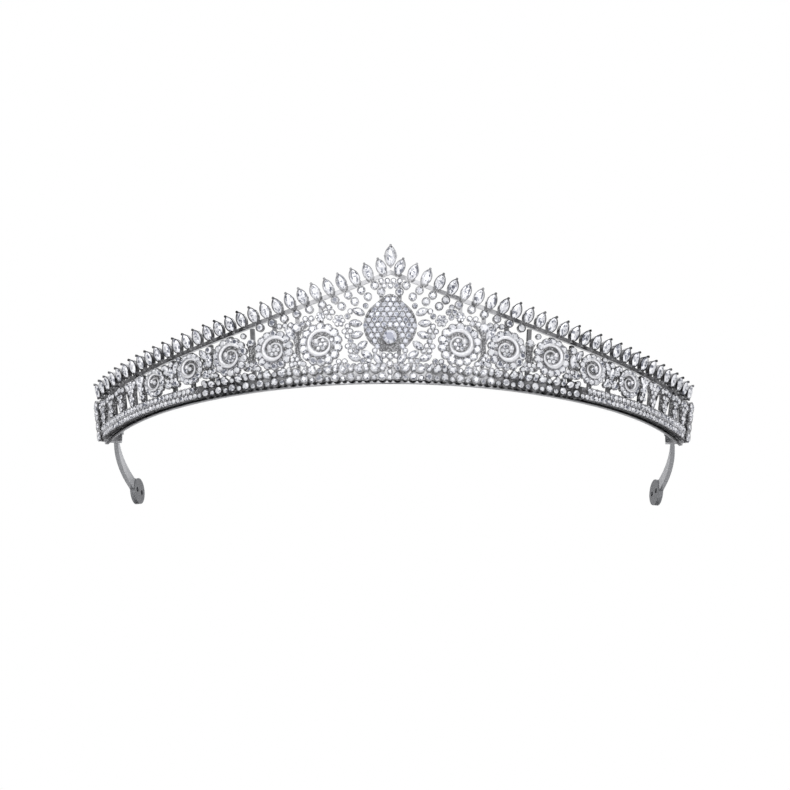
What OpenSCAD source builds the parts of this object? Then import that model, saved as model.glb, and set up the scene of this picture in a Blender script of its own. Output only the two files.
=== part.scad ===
// Bridal tiara: an openwork wall of scrolls, leaves and set stones on a plain head band,
// with two hinged arms that end in pierced oval plates.
// Frame: X across the head, -Y to the front, Z up. The base plane Z = 0 runs under the
// rim and the end plates, and the origin is the middle of the box that holds the tiara.

/* [Rim plan] */
// Radius of the wall's foot across the front
front_r = 77; // [70:1:90]
// Half of the angle that the front arc spans
front_half_angle = 36; // [30:1:40]
// Radius of the wall's foot at each side
side_r = 58; // [50:1:66]
// Angle that each side arc spans
side_angle = 34; // [28:1:38]
// Outward lean of the openwork wall
wall_lean = 8; // [4:1:12]

/* [Crest line] */
// Height of the row of tips where it would meet the centre line
peak_h = 28.4; // [24:0.1:36]
// Height of the row of tips at each end of the rim
end_h = 13.3; // [10.8:0.1:16.5]
// How sharply the crest falls away from the centre
crest_fall = 2.3; // [1.6:0.05:2.8]

/* [Band and rails] */
// Height of the plain inner head band
band_h = 2.4; // [1.8:0.1:3]
// Thickness of the inner head band
band_t = 0.8; // [0.6:0.05:1.2]
// Thickness of both rails and of the ribs between them
rail_t = 0.8; // [0.6:0.05:1.2]
// Lower edge of the lower rail above the base plane
lower_rail_z = 0.5; // [0.3:0.1:0.9]
// Height of the lower rail
lower_rail_h = 2.6; // [2.2:0.1:3]
// Height of the upper rail
upper_rail_h = 0.9; // [0.7:0.1:1.3]
// Width of a rib
rib_w = 0.9; // [0.6:0.1:1.4]

/* [Marquise row] */
// Length of a marquise stone
marquise_l = 3.9; // [3.2:0.1:4.7]
// Gap between neighbouring marquise settings
marquise_gap = 0.2; // [0.1:0.02:0.4]
// Number of marquise stones on each side
marquise_count = 29; // [24:1:34]
// Gap between the finial's setting and half the width of a marquise stone
finial_gap = 0.375; // [0.375:0.025:1]
// Lean of the marquise stones away from the centre line
marquise_lean = 22; // [12:1:26]
// Wall of a stone's setting
setting_wall = 0.22; // [0.15:0.01:0.24]

/* [Finial] */
// Length of the upright stone at the top
finial_l = 4.6; // [3.8:0.1:5.5]
// Width of the upright stone at the top
finial_w = 2.3; // [1.8:0.1:2.6]
// Height of the finial's tip above the peak of the crest line
finial_rise = 1.9; // [0.5:0.1:4]

/* [Round stones] */
// Diameter of the round stones under the marquise row
crest_stone_d = 1.45; // [1.1:0.05:1.7]
// Number of those stones on each side
crest_count = 10; // [4:1:12]
// Number of stones on each side in a second, shorter row under them
second_row_count = 4; // [1:1:4]
// Diameter of the round stones along the lower edge
gallery_stone_d = 1.5; // [1.2:0.05:1.6]
// Pitch of the stones along the lower edge
gallery_pitch = 3.35; // [3.2:0.05:4]
// Number of those stones on each side
gallery_count = 13; // [6:1:13]
// Distance of the first lower stone from the centre line
gallery_first = 1.65; // [1.5:0.05:2]
// Length of the leaf stones in the lower gallery
leaf_l = 2.2; // [1.6:0.1:2.4]
// Width of the leaf stones in the lower gallery
leaf_w = 1.3; // [1:0.05:1.4]

/* [Scrolls and links] */
// Number of scrolls on each side
scroll_count = 5; // [5]
// Gap between the plaque's petals and the first scroll's disc
scroll_start_gap = 0.8; // [0.2:0.1:2]
// Gap between two neighbouring discs
scroll_gap = 0.5; // [0.2:0.1:1.4]
// Largest radius of a scroll's disc, its halo of stones included
scroll_disc_r = 4.9; // [4:0.1:5.9]
// Outer radius of the volute as a share of the disc's radius
volute_share = 0.74; // [0.6:0.02:0.76]
// Widest part of a volute's ribbon as a share of its radius
volute_width_share = 0.24; // [0.15:0.01:0.3]
// Height that the volute stands above its disc
volute_rise = 0.55; // [0.3:0.05:0.9]
// Thickness of discs, links, fans and leaves
plate_t = 0.7; // [0.5:0.05:1]
// Gap between neighbouring plates
plate_gap = 0.12; // [0.08:0.01:0.3]
// Width of a link at its foot and head
link_w = 5.2; // [4:0.1:5.4]
// Distance from the last scroll's disc to the first fan, where the last link stands
last_link_room = 2.7; // [2:0.1:3.6]

/* [Fans and pave band] */
// Number of fans towards each end
fan_count = 4; // [2:1:5]
// Gap between the last stone of the lower edge and the pave band
pave_lead = 1.3; // [0.4:0.1:3]

/* [Centre] */
// Height of the plaque's foot on the wall
plaque_foot = 6.6; // [6.5:0.05:8]
// Gap between the plaque and the collets beside its top
plaque_gap = 1.2; // [0.8:0.05:2]
// Radius of the plaque's narrow top
plaque_tip_r = 1.9; // [1.4:0.1:2.2]
// Height of the dome above the plaque's edge
dome_h = 1.1; // [0.6:0.1:1.6]
// Diameter of the centre stone
centre_stone_d = 3; // [2.4:0.1:3.4]
// Height of the centre stone above the base plane
centre_stone_up = 9.6; // [9:0.1:11]
// Length of the petals round the plaque
petal_l = 3; // [2:0.1:3.6]
// Width of the petals round the plaque
petal_w = 1.7; // [1.2:0.1:1.8]
// Width of the oval boss inside the head band, under the centre
boss_w = 3.8; // [3:0.1:4.4]

/* [Hinges] */
// Diameter of a hinge pin
pin_d = 1.1; // [0.9:0.05:1.4]
// Radial clearance between a pin and its arm
pin_fit = 0.04; // [0.02:0.01:0.08]
// Thickness of one bracket ear
ear_t = 0.8; // [0.6:0.05:1.1]
// Gap between an ear and the arm, on each side
ear_gap = 0.12; // [0.08:0.01:0.25]
// Radius of the bracket ears about the pin
ear_r = 2.3; // [2:0.1:2.5]
// Height of the pins above the base plane
pin_z = 4; // [3.6:0.1:4.4]
// Distance of the pins inward from the wall's foot
pin_inset = 2.9; // [2.8:0.05:3.6]
// Distance of the pins beyond the end of the rim
pin_beyond = 1.4; // [1:0.1:2.4]

/* [Arms] */
// Thickness of an arm
arm_t = 1; // [0.7:0.05:1.4]
// Height of an arm
arm_h = 2.8; // [2.2:0.1:3.2]
// Direction of an arm at its pin, turned from straight across to straight back
arm_heading = 85; // [80:1:92]
// Radius of an arm's curve
arm_r = 160; // [120:5:260]
// Length of an arm's curved strip
arm_l = 35; // [28:1:45]
// Length of the straight stretch between the pin and the curve
arm_root_l = 4; // [3.4:0.1:6]

/* [End plates] */
// Height of an end plate
plate_d = 6.2; // [5.6:0.1:7]
// Thickness of an end plate
end_plate_t = 1.2; // [0.9:0.05:1.6]
// Direction that an end plate faces along, turned further in than its arm
end_plate_heading = 108; // [100:1:114]
// Diameter of the two holes in an end plate
hole_d = 1.2; // [0.8:0.05:1.4]
// Distance between the centres of the two holes
hole_pitch = 2.7; // [2.2:0.1:3]

/* [Hidden] */
$fn = 32;
TO_DEG = 180 / PI;
front_arc = front_r * front_half_angle / TO_DEG;
side_arc = side_r * side_angle / TO_DEG;
row_arc = front_arc + side_arc;
row_end_room = 3.1;
// The first marquise clears the finial by its own half width, which follows from the pitch
marquise_run = row_arc - row_end_room;
half_share = cos(marquise_lean) / 2;
finial_side = finial_w / 2 + setting_wall + finial_gap;
marquise_first = (finial_side + half_share * marquise_run / (marquise_count - 1)
    - setting_wall - marquise_gap / 2) / (1 + half_share / (marquise_count - 1));
marquise_pitch = (marquise_run - marquise_first) / (marquise_count - 1);
marquise_w = marquise_pitch * cos(marquise_lean) - 2 * setting_wall - marquise_gap;
end_heading = front_half_angle + side_angle;
centre_shift_x = (front_r - side_r) * sin(front_half_angle);
centre_shift_y = (side_r - front_r) * cos(front_half_angle);
motif_out = rail_t;
stone_depth = 0.9;
pointed_girdle = stone_depth * 0.7;
setting_t = 1;
collet_t = 0.8;
girdle_t = 0.12;
claw_share = 1.3;
claw_inset = 0.2;
claw_h = stone_depth * 0.5;
end_cap_r = 1.45;
end_cap_at = row_arc - end_cap_r;
bracket_reach = 1.9;
seat_gap = 0.02;
pave_edge = 0.2;
chain_points = 28;

// distance of the finial's front face and of the plates' back from the front centre's foot
finial_out = motif_out + setting_t + claw_h;
finial_tip_up = peak_h + finial_rise + setting_wall * (claw_share + claw_inset - 1);
front_reach = finial_tip_up * sin(wall_lean) + finial_out * cos(wall_lean);
pin_x = plan_x(row_arc) + pin_beyond * cos(end_heading) - pin_inset * sin(end_heading);
pin_from_front = plan_y(row_arc) + pin_beyond * sin(end_heading) + pin_inset * cos(end_heading);
arm_end_heading = arm_heading + arm_l / arm_r * TO_DEG;
arm_end_x = pin_x + arm_root_l * cos(arm_heading)
    + arm_r * (sin(arm_end_heading) - sin(arm_heading));
arm_end_from_front = pin_from_front + arm_root_l * sin(arm_heading)
    + arm_r * (cos(arm_heading) - cos(arm_end_heading));
end_plate_x = arm_end_x + plate_d / 2 * cos(end_plate_heading);
end_plate_from_front = arm_end_from_front + plate_d / 2 * sin(end_plate_heading);
back_reach = end_plate_from_front + plate_d / 2 * sin(end_plate_heading)
    - end_plate_t / 2 * cos(end_plate_heading);
foot_y = -(back_reach - front_reach) / 2;

// The plan of the wall's foot: an arc length s from the centre gives a heading and a point
function heading(s) = abs(s) < front_arc
    ? s / front_r * TO_DEG
    : sign(s) * (front_half_angle + (abs(s) - front_arc) / side_r * TO_DEG);
function plan_x(s) = abs(s) < front_arc
    ? front_r * sin(heading(s))
    : sign(s) * centre_shift_x + side_r * sin(heading(s));
function plan_y(s) = abs(s) < front_arc
    ? front_r * (1 - cos(heading(s)))
    : front_r + centre_shift_y - side_r * cos(heading(s));

// The crest: height of the marquise tips, and of the upper rail's middle
function tip_line(s) = end_h + (peak_h - end_h) * pow(max(0, 1 - abs(s) / row_arc), crest_fall);
marquise_reach = marquise_l + 2 * setting_wall;
marquise_rise = marquise_reach * cos(marquise_lean);
function rail_line(s) = tip_line(s) - marquise_rise + 0.1;
crest_collet_r = crest_stone_d / 2 + setting_wall;
// The first round row sits against the feet of the marquise settings, the second against it
crest_touch = crest_collet_r + plate_gap / 2;
crest_side = (marquise_pitch - marquise_reach * sin(marquise_lean)) / 2;
crest_lead = (marquise_pitch + marquise_reach * sin(marquise_lean)) / 2;
crest_drop = sqrt(pow(crest_touch, 2) - pow(crest_side, 2));
second_row_drop = sqrt(max(0, pow(2 * crest_touch, 2) - pow(marquise_pitch / 2, 2)));
function crest_line(s) = tip_line(s + crest_lead) - marquise_rise - crest_drop;
function second_row_line(s) = crest_line(s + marquise_pitch / 2) - second_row_drop;
second_row_end = marquise_at(second_row_count - 1) + crest_collet_r;
crest_end = marquise_at(crest_count - 1) + marquise_pitch / 2 + crest_collet_r;
function motif_ceiling(s, half_width) =
    let (left = s - half_width, right = s + half_width)
    (left < second_row_end ? second_row_line(right) - crest_touch
        : left < crest_end ? crest_line(right) - crest_touch
        : rail_line(right) - upper_rail_h / 2) - plate_gap;
function marquise_at(n) = marquise_first - marquise_reach / 2 * sin(marquise_lean)
    + n * marquise_pitch;
function gallery_at(n) = gallery_first + n * gallery_pitch;

// The gallery: round collets on the edge, and leaf settings that lie over their gaps
gallery_collet_r = gallery_stone_d / 2 + setting_wall;
gallery_round_up = gallery_collet_r + 0.25;
leaf_turn = 60;
leaf_up = gallery_round_up + gallery_collet_r + leaf_w / 2 + 0.06;
gallery_top = leaf_up + (leaf_l / 2 + setting_wall * claw_inset) * cos(leaf_turn)
    + setting_wall * claw_share + 0.04;

pave_band_top = lower_rail_z + lower_rail_h;
pave_start = gallery_at(gallery_count - 1) + gallery_collet_r + pave_lead;

// The plaque's narrow top reaches up between the first two collets of the second row
tip_reach = plaque_tip_r + crest_collet_r + plate_gap * 1.5;
plaque_tip_up = second_row_line(marquise_at(0))
    - sqrt(max(0, pow(tip_reach, 2) - pow(marquise_at(0), 2)));
petal_gap = plate_gap + 0.1;

// The plaque is as large a circle as clears the second row's collets above its foot
collet_reach = crest_collet_r + plaque_gap;
collet_rise = second_row_line(marquise_at(1)) - plaque_foot;
plaque_r = (pow(marquise_at(1), 2) + pow(collet_rise, 2) - pow(collet_reach, 2))
    / (2 * (collet_rise + collet_reach));
plaque_up = plaque_foot + plaque_r;
petals_end = plaque_r + petal_gap + petal_l;

// The scrolls fill the space between the gallery and the crest
scroll_first = petals_end + scroll_start_gap + scroll_disc_r;
scroll_pitch = 2 * scroll_disc_r + scroll_gap;
function scroll_at(k) = scroll_first + k * scroll_pitch;
function scroll_floor(k) = scroll_at(k) - scroll_disc_r > pave_start
    ? pave_band_top + plate_gap
    : gallery_top;
function scroll_radius(k) = min(scroll_disc_r,
    (motif_ceiling(scroll_at(k), scroll_disc_r * 0.4) - scroll_floor(k)) / 2);
function scroll_up(k) = scroll_floor(k) + scroll_radius(k);

// The fans share what is left between the last scroll and the end cap
scrolls_end = scroll_at(scroll_count - 1) + scroll_radius(scroll_count - 1);
fan_from = scrolls_end + last_link_room;
fan_pitch = (end_cap_at - end_cap_r - fan_from) / fan_count;
fan_w = fan_pitch - plate_gap;
function fan_at(n) = fan_from + (n + 0.5) * fan_pitch;

// Places children on the wall: x runs along it, y up its slope and z outward
module on_wall(s, up = 0, out = 0, turn = 0) {
    translate([plan_x(s), foot_y + plan_y(s), 0])
    rotate([0, 0, heading(s)])
    rotate([90 + wall_lean, 0, 0])
    translate([0, up, out])
    rotate([0, 0, turn])
    children();
}

// Mirrors the right half's piece to the left
module left_side() {
    mirror([1, 0, 0]) children();
}

// A pointed oval, as two circular arcs
module marquise_outline(length, width) {
    arc_r = (length * length + width * width) / (4 * width);
    intersection() {
        translate([arc_r - width / 2, 0]) circle(r = arc_r, $fn = 64);
        translate([width / 2 - arc_r, 0]) circle(r = arc_r, $fn = 64);
    }
}

// A ring of the wall's plan between two distances outward and two heights, over an arc range
module wall_ring(out_1, out_2, z_1, z_2, from_s, to_s) {
    slope = tan(wall_lean);
    if (from_s < front_arc) {
        front_to = min(to_s, front_arc);
        translate([0, foot_y + front_r, 0])
        rotate([0, 0, -90 + heading(from_s)])
        rotate_extrude(angle = heading(front_to) - heading(from_s), $fn = 180)
        polygon([
            [front_r + out_1 + z_1 * slope, z_1],
            [front_r + out_2 + z_1 * slope, z_1],
            [front_r + out_2 + z_2 * slope, z_2],
            [front_r + out_1 + z_2 * slope, z_2]
        ]);
    }
    if (to_s > front_arc) {
        side_from = max(from_s, front_arc);
        translate([centre_shift_x, foot_y + front_r + centre_shift_y, 0])
        rotate([0, 0, -90 + heading(side_from)])
        rotate_extrude(angle = heading(to_s) - heading(side_from), $fn = 180)
        polygon([
            [side_r + out_1 + z_1 * slope, z_1],
            [side_r + out_2 + z_1 * slope, z_1],
            [side_r + out_2 + z_2 * slope, z_2],
            [side_r + out_1 + z_2 * slope, z_2]
        ]);
    }
}

// Both halves of a ring that runs right across the front
module whole_ring(out_1, out_2, z_1, z_2, to_s) {
    wall_ring(out_1, out_2, z_1, z_2, 0, to_s);
    left_side() wall_ring(out_1, out_2, z_1, z_2, 0, to_s);
}

// A round stone: pavilion, girdle and crown, with its table at the top
module round_stone(d) {
    r = d / 2;
    rotate_extrude($fn = 24)
    polygon([
        [0, -stone_depth * 0.6],
        [r * 0.25, -stone_depth * 0.6],
        [r, 0],
        [r, girdle_t],
        [r * 0.6, girdle_t + stone_depth * 0.25],
        [0, girdle_t + stone_depth * 0.25]
    ]);
}

// The collet that holds a round stone
module round_collet(d, height) {
    difference() {
        cylinder(r = d / 2 + setting_wall, h = height, $fn = 24);
        translate([0, 0, -1]) cylinder(r = d / 2, h = height + 2, $fn = 24);
    }
}

// A pointed stone, with its girdle and a smaller table on it
module pointed_stone(length, width) {
    linear_extrude(pointed_girdle) marquise_outline(length, width);
    translate([0, 0, pointed_girdle])
    linear_extrude(stone_depth * 0.25) marquise_outline(length * 0.7, width * 0.6);
}

// The setting of a pointed stone: a rim and a claw over each point
module pointed_setting(length, width, height) {
    claw_r = setting_wall * claw_share;
    difference() {
        linear_extrude(height)
        marquise_outline(length + 2 * setting_wall, width + 2 * setting_wall);
        translate([0, 0, -1]) linear_extrude(height + 2) marquise_outline(length, width);
    }
    for (end = [-1, 1])
        translate([0, end * (length / 2 + setting_wall * claw_inset), height])
        cylinder(r = claw_r, h = claw_h, $fn = 16);
}

// Inner head band, plain and polished
module base_band() {
    color("silver") whole_ring(-band_t, 0, 0, band_h, row_arc);
}

// Lower rail, which carries the gallery and the pave band
module lower_rail() {
    color("silver")
    whole_ring(0, rail_t, lower_rail_z, lower_rail_z + lower_rail_h, row_arc);
}

// Upper rail: one bar that follows the crest, with a flat facet behind each marquise
module upper_rail() {
    half_count = marquise_count + 1;
    stations = concat(
        [for (n = [half_count:-1:1]) -rail_station(n)],
        [0],
        [for (n = [1:half_count]) rail_station(n)]
    );
    sections = [for (s = stations) rail_section(s)];
    last = len(stations) - 1;
    faces = concat(
        [[3, 2, 1, 0]],
        [for (i = [0:last - 1], j = [0:3])
            [i * 4 + j, i * 4 + (j + 1) % 4, (i + 1) * 4 + (j + 1) % 4, (i + 1) * 4 + j]],
        [[last * 4, last * 4 + 1, last * 4 + 2, last * 4 + 3]]
    );
    color("silver") polyhedron([for (section = sections) each section], faces, convexity = 8);
}
function rail_station(n) = n > marquise_count
    ? row_arc
    : marquise_at(n - 1) + marquise_pitch / 2;
function rail_section(s) = [
    wall_point(s, 0, rail_line(s) - upper_rail_h / 2),
    wall_point(s, rail_t, rail_line(s) - upper_rail_h / 2),
    wall_point(s, rail_t, rail_line(s) + upper_rail_h / 2),
    wall_point(s, 0, rail_line(s) + upper_rail_h / 2)
];

// A point of space from its place on the wall
function wall_point(s, out, up) =
    let (reach = out * cos(wall_lean) + up * sin(wall_lean))
    [
        plan_x(s) + reach * sin(heading(s)),
        foot_y + plan_y(s) - reach * cos(heading(s)),
        up * cos(wall_lean) - out * sin(wall_lean)
    ];

// Ribs behind the scrolls, the links and the fans
module ribs_right() {
    lower_top = (lower_rail_z + lower_rail_h) / cos(wall_lean) + 0.1;
    places = concat(
        [plaque_tip_r],
        [for (k = [0:scroll_count - 1]) scroll_at(k)],
        [for (k = [0:scroll_count - 1]) link_at(k)],
        [for (n = [0:fan_count - 1]) fan_at(n)]
    );
    color("silver")
    for (s = places)
        on_wall(s, lower_top, 0)
        translate([-rib_w / 2, 0, 0.04])
        cube([rib_w, rail_line(s + rib_w) - upper_rail_h / 2 - lower_top - 0.1, rail_t - 0.08]);
}
function link_at(k) = k < scroll_count - 1
    ? (scroll_at(k) + scroll_at(k + 1)) / 2
    : scrolls_end + last_link_room / 2;
function link_width(k) = k < scroll_count - 1 ? link_w : last_link_room - 2 * plate_gap;

// One volute: a ribbon that swells over the top and the outer side, thins round the foot
// and curls in to a ball
function volute_r(r, t) = r * (1 - 0.62 * pow(t, 1.5));
function volute_w(r, t) = r * volute_width_share * (0.35 + 0.65 * pow(sin(180 * min(1, t + 0.18)), 2));
function volute_point(r, t, side) =
    let (angle = 145 - 470 * t, reach = volute_r(r, t) - side * volute_w(r, t))
    [reach * cos(angle), reach * sin(angle)];
module volute(r) {
    inner = [for (i = [0:chain_points]) volute_point(r, i / chain_points, 1)];
    outer = [for (i = [chain_points:-1:0]) volute_point(r, i / chain_points, 0)];
    ball = volute_point(r, 1, 0.5);
    linear_extrude(volute_rise) polygon(concat(inner, outer));
    translate([ball[0], ball[1], 0]) cylinder(r = r * 0.17, h = volute_rise * 1.25, $fn = 24);
}

// One scroll: a disc for the pave and its halo, with the polished volute on it
module scroll(k) {
    color("gainsboro")
    on_wall(scroll_at(k), scroll_up(k), motif_out) {
        linear_extrude(plate_t) scroll_disc_outline(k);
        translate([0, 0, plate_t]) volute(scroll_radius(k) * volute_share);
    }
}
module scroll_disc_outline(k) {
    lobes = 14;
    r = scroll_radius(k);
    lobe_r = r * 0.2;
    circle(r = r - lobe_r * 0.9, $fn = 48);
    for (i = [0:lobes - 1])
        rotate([0, 0, (i + 0.5) * 360 / lobes])
        translate([r - lobe_r, 0])
        circle(r = lobe_r, $fn = 24);
}

// One link: an upright leaf group that fills the space between two discs
module link(k) {
    s = link_at(k);
    width = link_width(k);
    head = motif_ceiling(s, width / 2);
    foot = scroll_floor(k) + plate_gap;
    height = head - foot;
    waist = height * 0.42;
    color("gainsboro")
    on_wall(s, foot, motif_out)
    linear_extrude(plate_t)
    difference() {
        union() {
            translate([0, height / 2]) marquise_outline(height, width * 0.62);
            for (side = [-1, 1])
                translate([side * width * 0.27, height * 0.72])
                rotate([0, 0, -side * 32])
                marquise_outline(height * 0.5, width * 0.36);
            translate([0, height * 0.86]) circle(r = min(height * 0.12, width / 2), $fn = 24);
            for (side = [-1, 1])
                translate([side * width * 0.25, height * 0.16])
                circle(r = width * 0.15, $fn = 24);
        }
        link_neighbours(k, s, foot);
        translate([0, waist * 0.36]) marquise_outline(waist * 0.36, width * 0.12);
    }
}

// The discs on both sides of a link, as outlines in the link's own plane
module link_neighbours(k, s, foot) {
    for (j = [k, k + 1])
        if (j < scroll_count)
            translate([scroll_at(j) - s, scroll_up(j) - foot])
            circle(r = scroll_radius(j) + plate_gap, $fn = 64);
}

// Fans towards the ends, wide at the head and open between their feet
module fans_right() {
    color("gainsboro")
    for (n = [0:fan_count - 1]) {
        s = fan_at(n);
        foot = pave_band_top + plate_gap;
        head = motif_ceiling(s, fan_w / 2);
        height = head - foot;
        lobe_r = fan_w / 6;
        on_wall(s, foot, motif_out)
        linear_extrude(plate_t)
        union() {
            polygon([
                [-fan_w * 0.12, 0],
                [fan_w * 0.12, 0],
                [fan_w / 2, height - lobe_r * 1.6],
                [-fan_w / 2, height - lobe_r * 1.6]
            ]);
            for (i = [-1:1])
                translate([i * lobe_r * 1.95, height - lobe_r - 0.35 * abs(i)])
                circle(r = lobe_r, $fn = 24);
        }
    }
}

// Flowers in the space over the first scroll
module flowers_right() {
    color("gainsboro") {
        flower(flower_at, flower_up, flower_r);
        flower(scroll_at(0), bud_up, bud_r);
    }
}
module flower(s, up, r) {
    petals = 6;
    petal_r = r * 0.36;
    on_wall(s, up, motif_out)
    linear_extrude(plate_t) {
        circle(r = r * 0.5, $fn = 24);
        for (i = [0:petals - 1])
            rotate([0, 0, i * 360 / petals])
            translate([r - petal_r, 0])
            circle(r = petal_r, $fn = 24);
    }
}
flower_r = 1.4;
// The flower stands over the inner side of the first scroll, and clear of its disc
flower_inset = scroll_radius(0) * 0.8;
flower_up = motif_ceiling(scroll_first - flower_inset, flower_r) - flower_r;
flower_reach = scroll_radius(0) + flower_r + plate_gap;
flower_clear = sqrt(max(0, pow(flower_reach, 2) - pow(flower_up - scroll_up(0), 2)));
flower_at = scroll_first - max(flower_inset, flower_clear);
bud_floor = scroll_up(0) + scroll_radius(0) + plate_gap;
bud_r = max(0.4, (motif_ceiling(scroll_at(0), 1) - bud_floor) / 2);
bud_up = bud_floor + bud_r;

// Marquise row
module marquise_settings_right() {
    color("silver")
    for (n = [0:marquise_count - 1])
        marquise_place(n)
        pointed_setting(marquise_l, marquise_w, setting_t);
}
module marquise_stones_right() {
    color("white")
    for (n = [0:marquise_count - 1])
        marquise_place(n)
        translate([0, 0, setting_t - pointed_girdle])
        pointed_stone(marquise_l, marquise_w);
}
module marquise_place(n) {
    s = marquise_at(n);
    tip_s = marquise_first + n * marquise_pitch;
    on_wall(s, tip_line(tip_s) - marquise_rise / 2, motif_out, -marquise_lean) children();
}

// Finial: one upright stone that stands in front of the first pair
module finial_place() {
    stand = finial_l + 2 * setting_wall;
    on_wall(0, peak_h + finial_rise - stand / 2, motif_out) children();
}
module finial_setting() {
    color("silver")
    finial_place() {
        pointed_setting(finial_l, finial_w, setting_t);
        for (side = [-1, 1])
            translate([side * (finial_w / 2 + setting_wall / 2), 0, setting_t])
            cylinder(r = setting_wall, h = stone_depth * 0.4, $fn = 16);
    }
}
module finial_stone() {
    color("white")
    finial_place()
    translate([0, 0, setting_t - pointed_girdle])
    pointed_stone(finial_l, finial_w);
}

// Round stones under the marquise row: one long row, and a short one in its gaps
module crest_places() {
    for (n = [0:crest_count - 1]) {
        s = marquise_at(n) + marquise_pitch / 2;
        on_wall(s, crest_line(s), motif_out) children();
    }
    for (n = [0:second_row_count - 1]) {
        s = marquise_at(n);
        on_wall(s, second_row_line(s), motif_out) children();
    }
}
module crest_collets_right() {
    color("silver") crest_places() round_collet(crest_stone_d, collet_t);
}
module crest_stones_right() {
    color("white")
    crest_places()
    translate([0, 0, collet_t - girdle_t])
    round_stone(crest_stone_d);
}

// Lower gallery: round stones along the edge with leaf stones over the gaps between them
module gallery_round_place(n) {
    on_wall(gallery_at(n), gallery_round_up, motif_out) children();
}
module gallery_leaf_place(n) {
    on_wall(gallery_at(n) + gallery_pitch / 2, leaf_up, motif_out, -leaf_turn) children();
}
module gallery_settings_right() {
    color("silver")
    for (n = [0:gallery_count - 1]) {
        gallery_round_place(n) round_collet(gallery_stone_d, collet_t);
        if (n < gallery_count - 1)
            gallery_leaf_place(n) pointed_setting(leaf_l, leaf_w, collet_t);
    }
}
module gallery_stones_right() {
    color("white")
    for (n = [0:gallery_count - 1]) {
        gallery_round_place(n)
            translate([0, 0, collet_t - girdle_t])
            round_stone(gallery_stone_d);
        if (n < gallery_count - 1)
            gallery_leaf_place(n)
            translate([0, 0, collet_t - pointed_girdle])
            pointed_stone(leaf_l, leaf_w);
    }
}

// Pave band along the lower rail, from the gallery's end to the end cap
module pave_band_right() {
    color("gainsboro")
    wall_ring(rail_t, rail_t + plate_t, pave_edge, pave_band_top - pave_edge, pave_start,
        end_cap_at - end_cap_r - plate_gap);
}

// Centre plaque: a pear-shaped plate with a low dome
module plaque_outline() {
    reach = plaque_tip_up - plaque_up;
    tilt = acos((plaque_r - plaque_tip_r) / reach);
    shoulder = 90 - tilt;
    circle(r = plaque_r, $fn = 96);
    translate([0, reach]) circle(r = plaque_tip_r, $fn = 48);
    polygon([
        [plaque_r * cos(shoulder), plaque_r * sin(shoulder)],
        [plaque_tip_r * cos(shoulder), reach + plaque_tip_r * sin(shoulder)],
        [-plaque_tip_r * cos(shoulder), reach + plaque_tip_r * sin(shoulder)],
        [-plaque_r * cos(shoulder), plaque_r * sin(shoulder)]
    ]);
}
module dome(r, height) {
    ball_r = (r * r + height * height) / (2 * height);
    rotate_extrude($fn = 96)
    intersection() {
        translate([0, height - ball_r]) circle(r = ball_r, $fn = 180);
        square([r, height]);
    }
}
module centre_plaque() {
    stone_at = centre_stone_up - plaque_up;
    color("gainsboro")
    on_wall(0, plaque_up, motif_out) {
        difference() {
            union() {
                linear_extrude(plate_t) plaque_outline();
                translate([0, 0, plate_t]) dome(plaque_r * 0.95, dome_h);
            }
            translate([0, stone_at, plate_t * 0.4])
            cylinder(r = centre_stone_d / 2 + setting_wall, h = dome_h + 2);
        }
        translate([0, stone_at, plate_t * 0.4])
        round_collet(centre_stone_d, plate_t + dome_h);
    }
    color("gainsboro") plaque_petals();
}

// Petals round the plaque's sides
module plaque_petals() {
    reach = plaque_r + petal_gap + petal_l / 2;
    for (side = [-1, 1], angle = [-36, -16, 4, 24])
        on_wall(0, plaque_up, motif_out)
        translate([side * reach * cos(angle), reach * sin(angle)])
        rotate([0, 0, side * (angle - 90)])
        linear_extrude(plate_t)
        marquise_outline(petal_l, petal_w);
}
module centre_stone() {
    color("white")
    on_wall(0, centre_stone_up, motif_out)
    translate([0, 0, plate_t * 1.4 + dome_h - girdle_t])
    round_stone(centre_stone_d);
}

// Fan of leaves and two round collets under the plaque
module centre_fan() {
    axis_d = 1.2;
    color("gainsboro") {
        for (side = [-1, 1], leaf = [[2.6, 5, 38], [5, 5.9, 58], [7.6, 5.3, 72]])
            on_wall(0, leaf[1], motif_out)
            translate([side * leaf[0], 0])
            rotate([0, 0, -side * leaf[2]])
            linear_extrude(plate_t)
            marquise_outline(3.2, 1.7);
        for (up = [3.9, 5.6])
            on_wall(0, up, motif_out)
            round_collet(axis_d, collet_t);
    }
}

// Small plain oval boss on the inside of the head band, at its middle
module centre_boss() {
    color("gray")
    on_wall(0, boss_w * 0.25, -band_t - plate_t - seat_gap)
    linear_extrude(plate_t)
    rotate([0, 0, 90])
    marquise_outline(boss_w, boss_w * 0.5);
}

// End cap: a column of lobes that closes the rim
module end_cap_right() {
    foot = 0.25;
    lobe_count = 4;
    head = rail_line(row_arc) + upper_rail_h / 2;
    step = (head - foot - 2 * end_cap_r) / (lobe_count - 1);
    color("gainsboro")
    on_wall(end_cap_at, 0, motif_out)
    linear_extrude(plate_t + 0.2) {
        translate([-end_cap_r * 0.6, foot + end_cap_r])
        square([end_cap_r * 1.2, head - foot - 2 * end_cap_r]);
        for (i = [0:lobe_count - 1])
            translate([0, foot + end_cap_r + i * step])
            circle(r = end_cap_r);
    }
}

// Hinge: local frame at the pin, with x along the arm, y inward and z up
module at_pin() {
    translate([pin_x, foot_y + pin_from_front, pin_z])
    rotate([0, 0, arm_heading])
    children();
}
module pin_cylinder(r, from, to) {
    translate([0, from, 0]) rotate([-90, 0, 0]) cylinder(r = r, h = to - from);
}
clevis_half = arm_t / 2 + ear_gap + ear_t;

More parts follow.
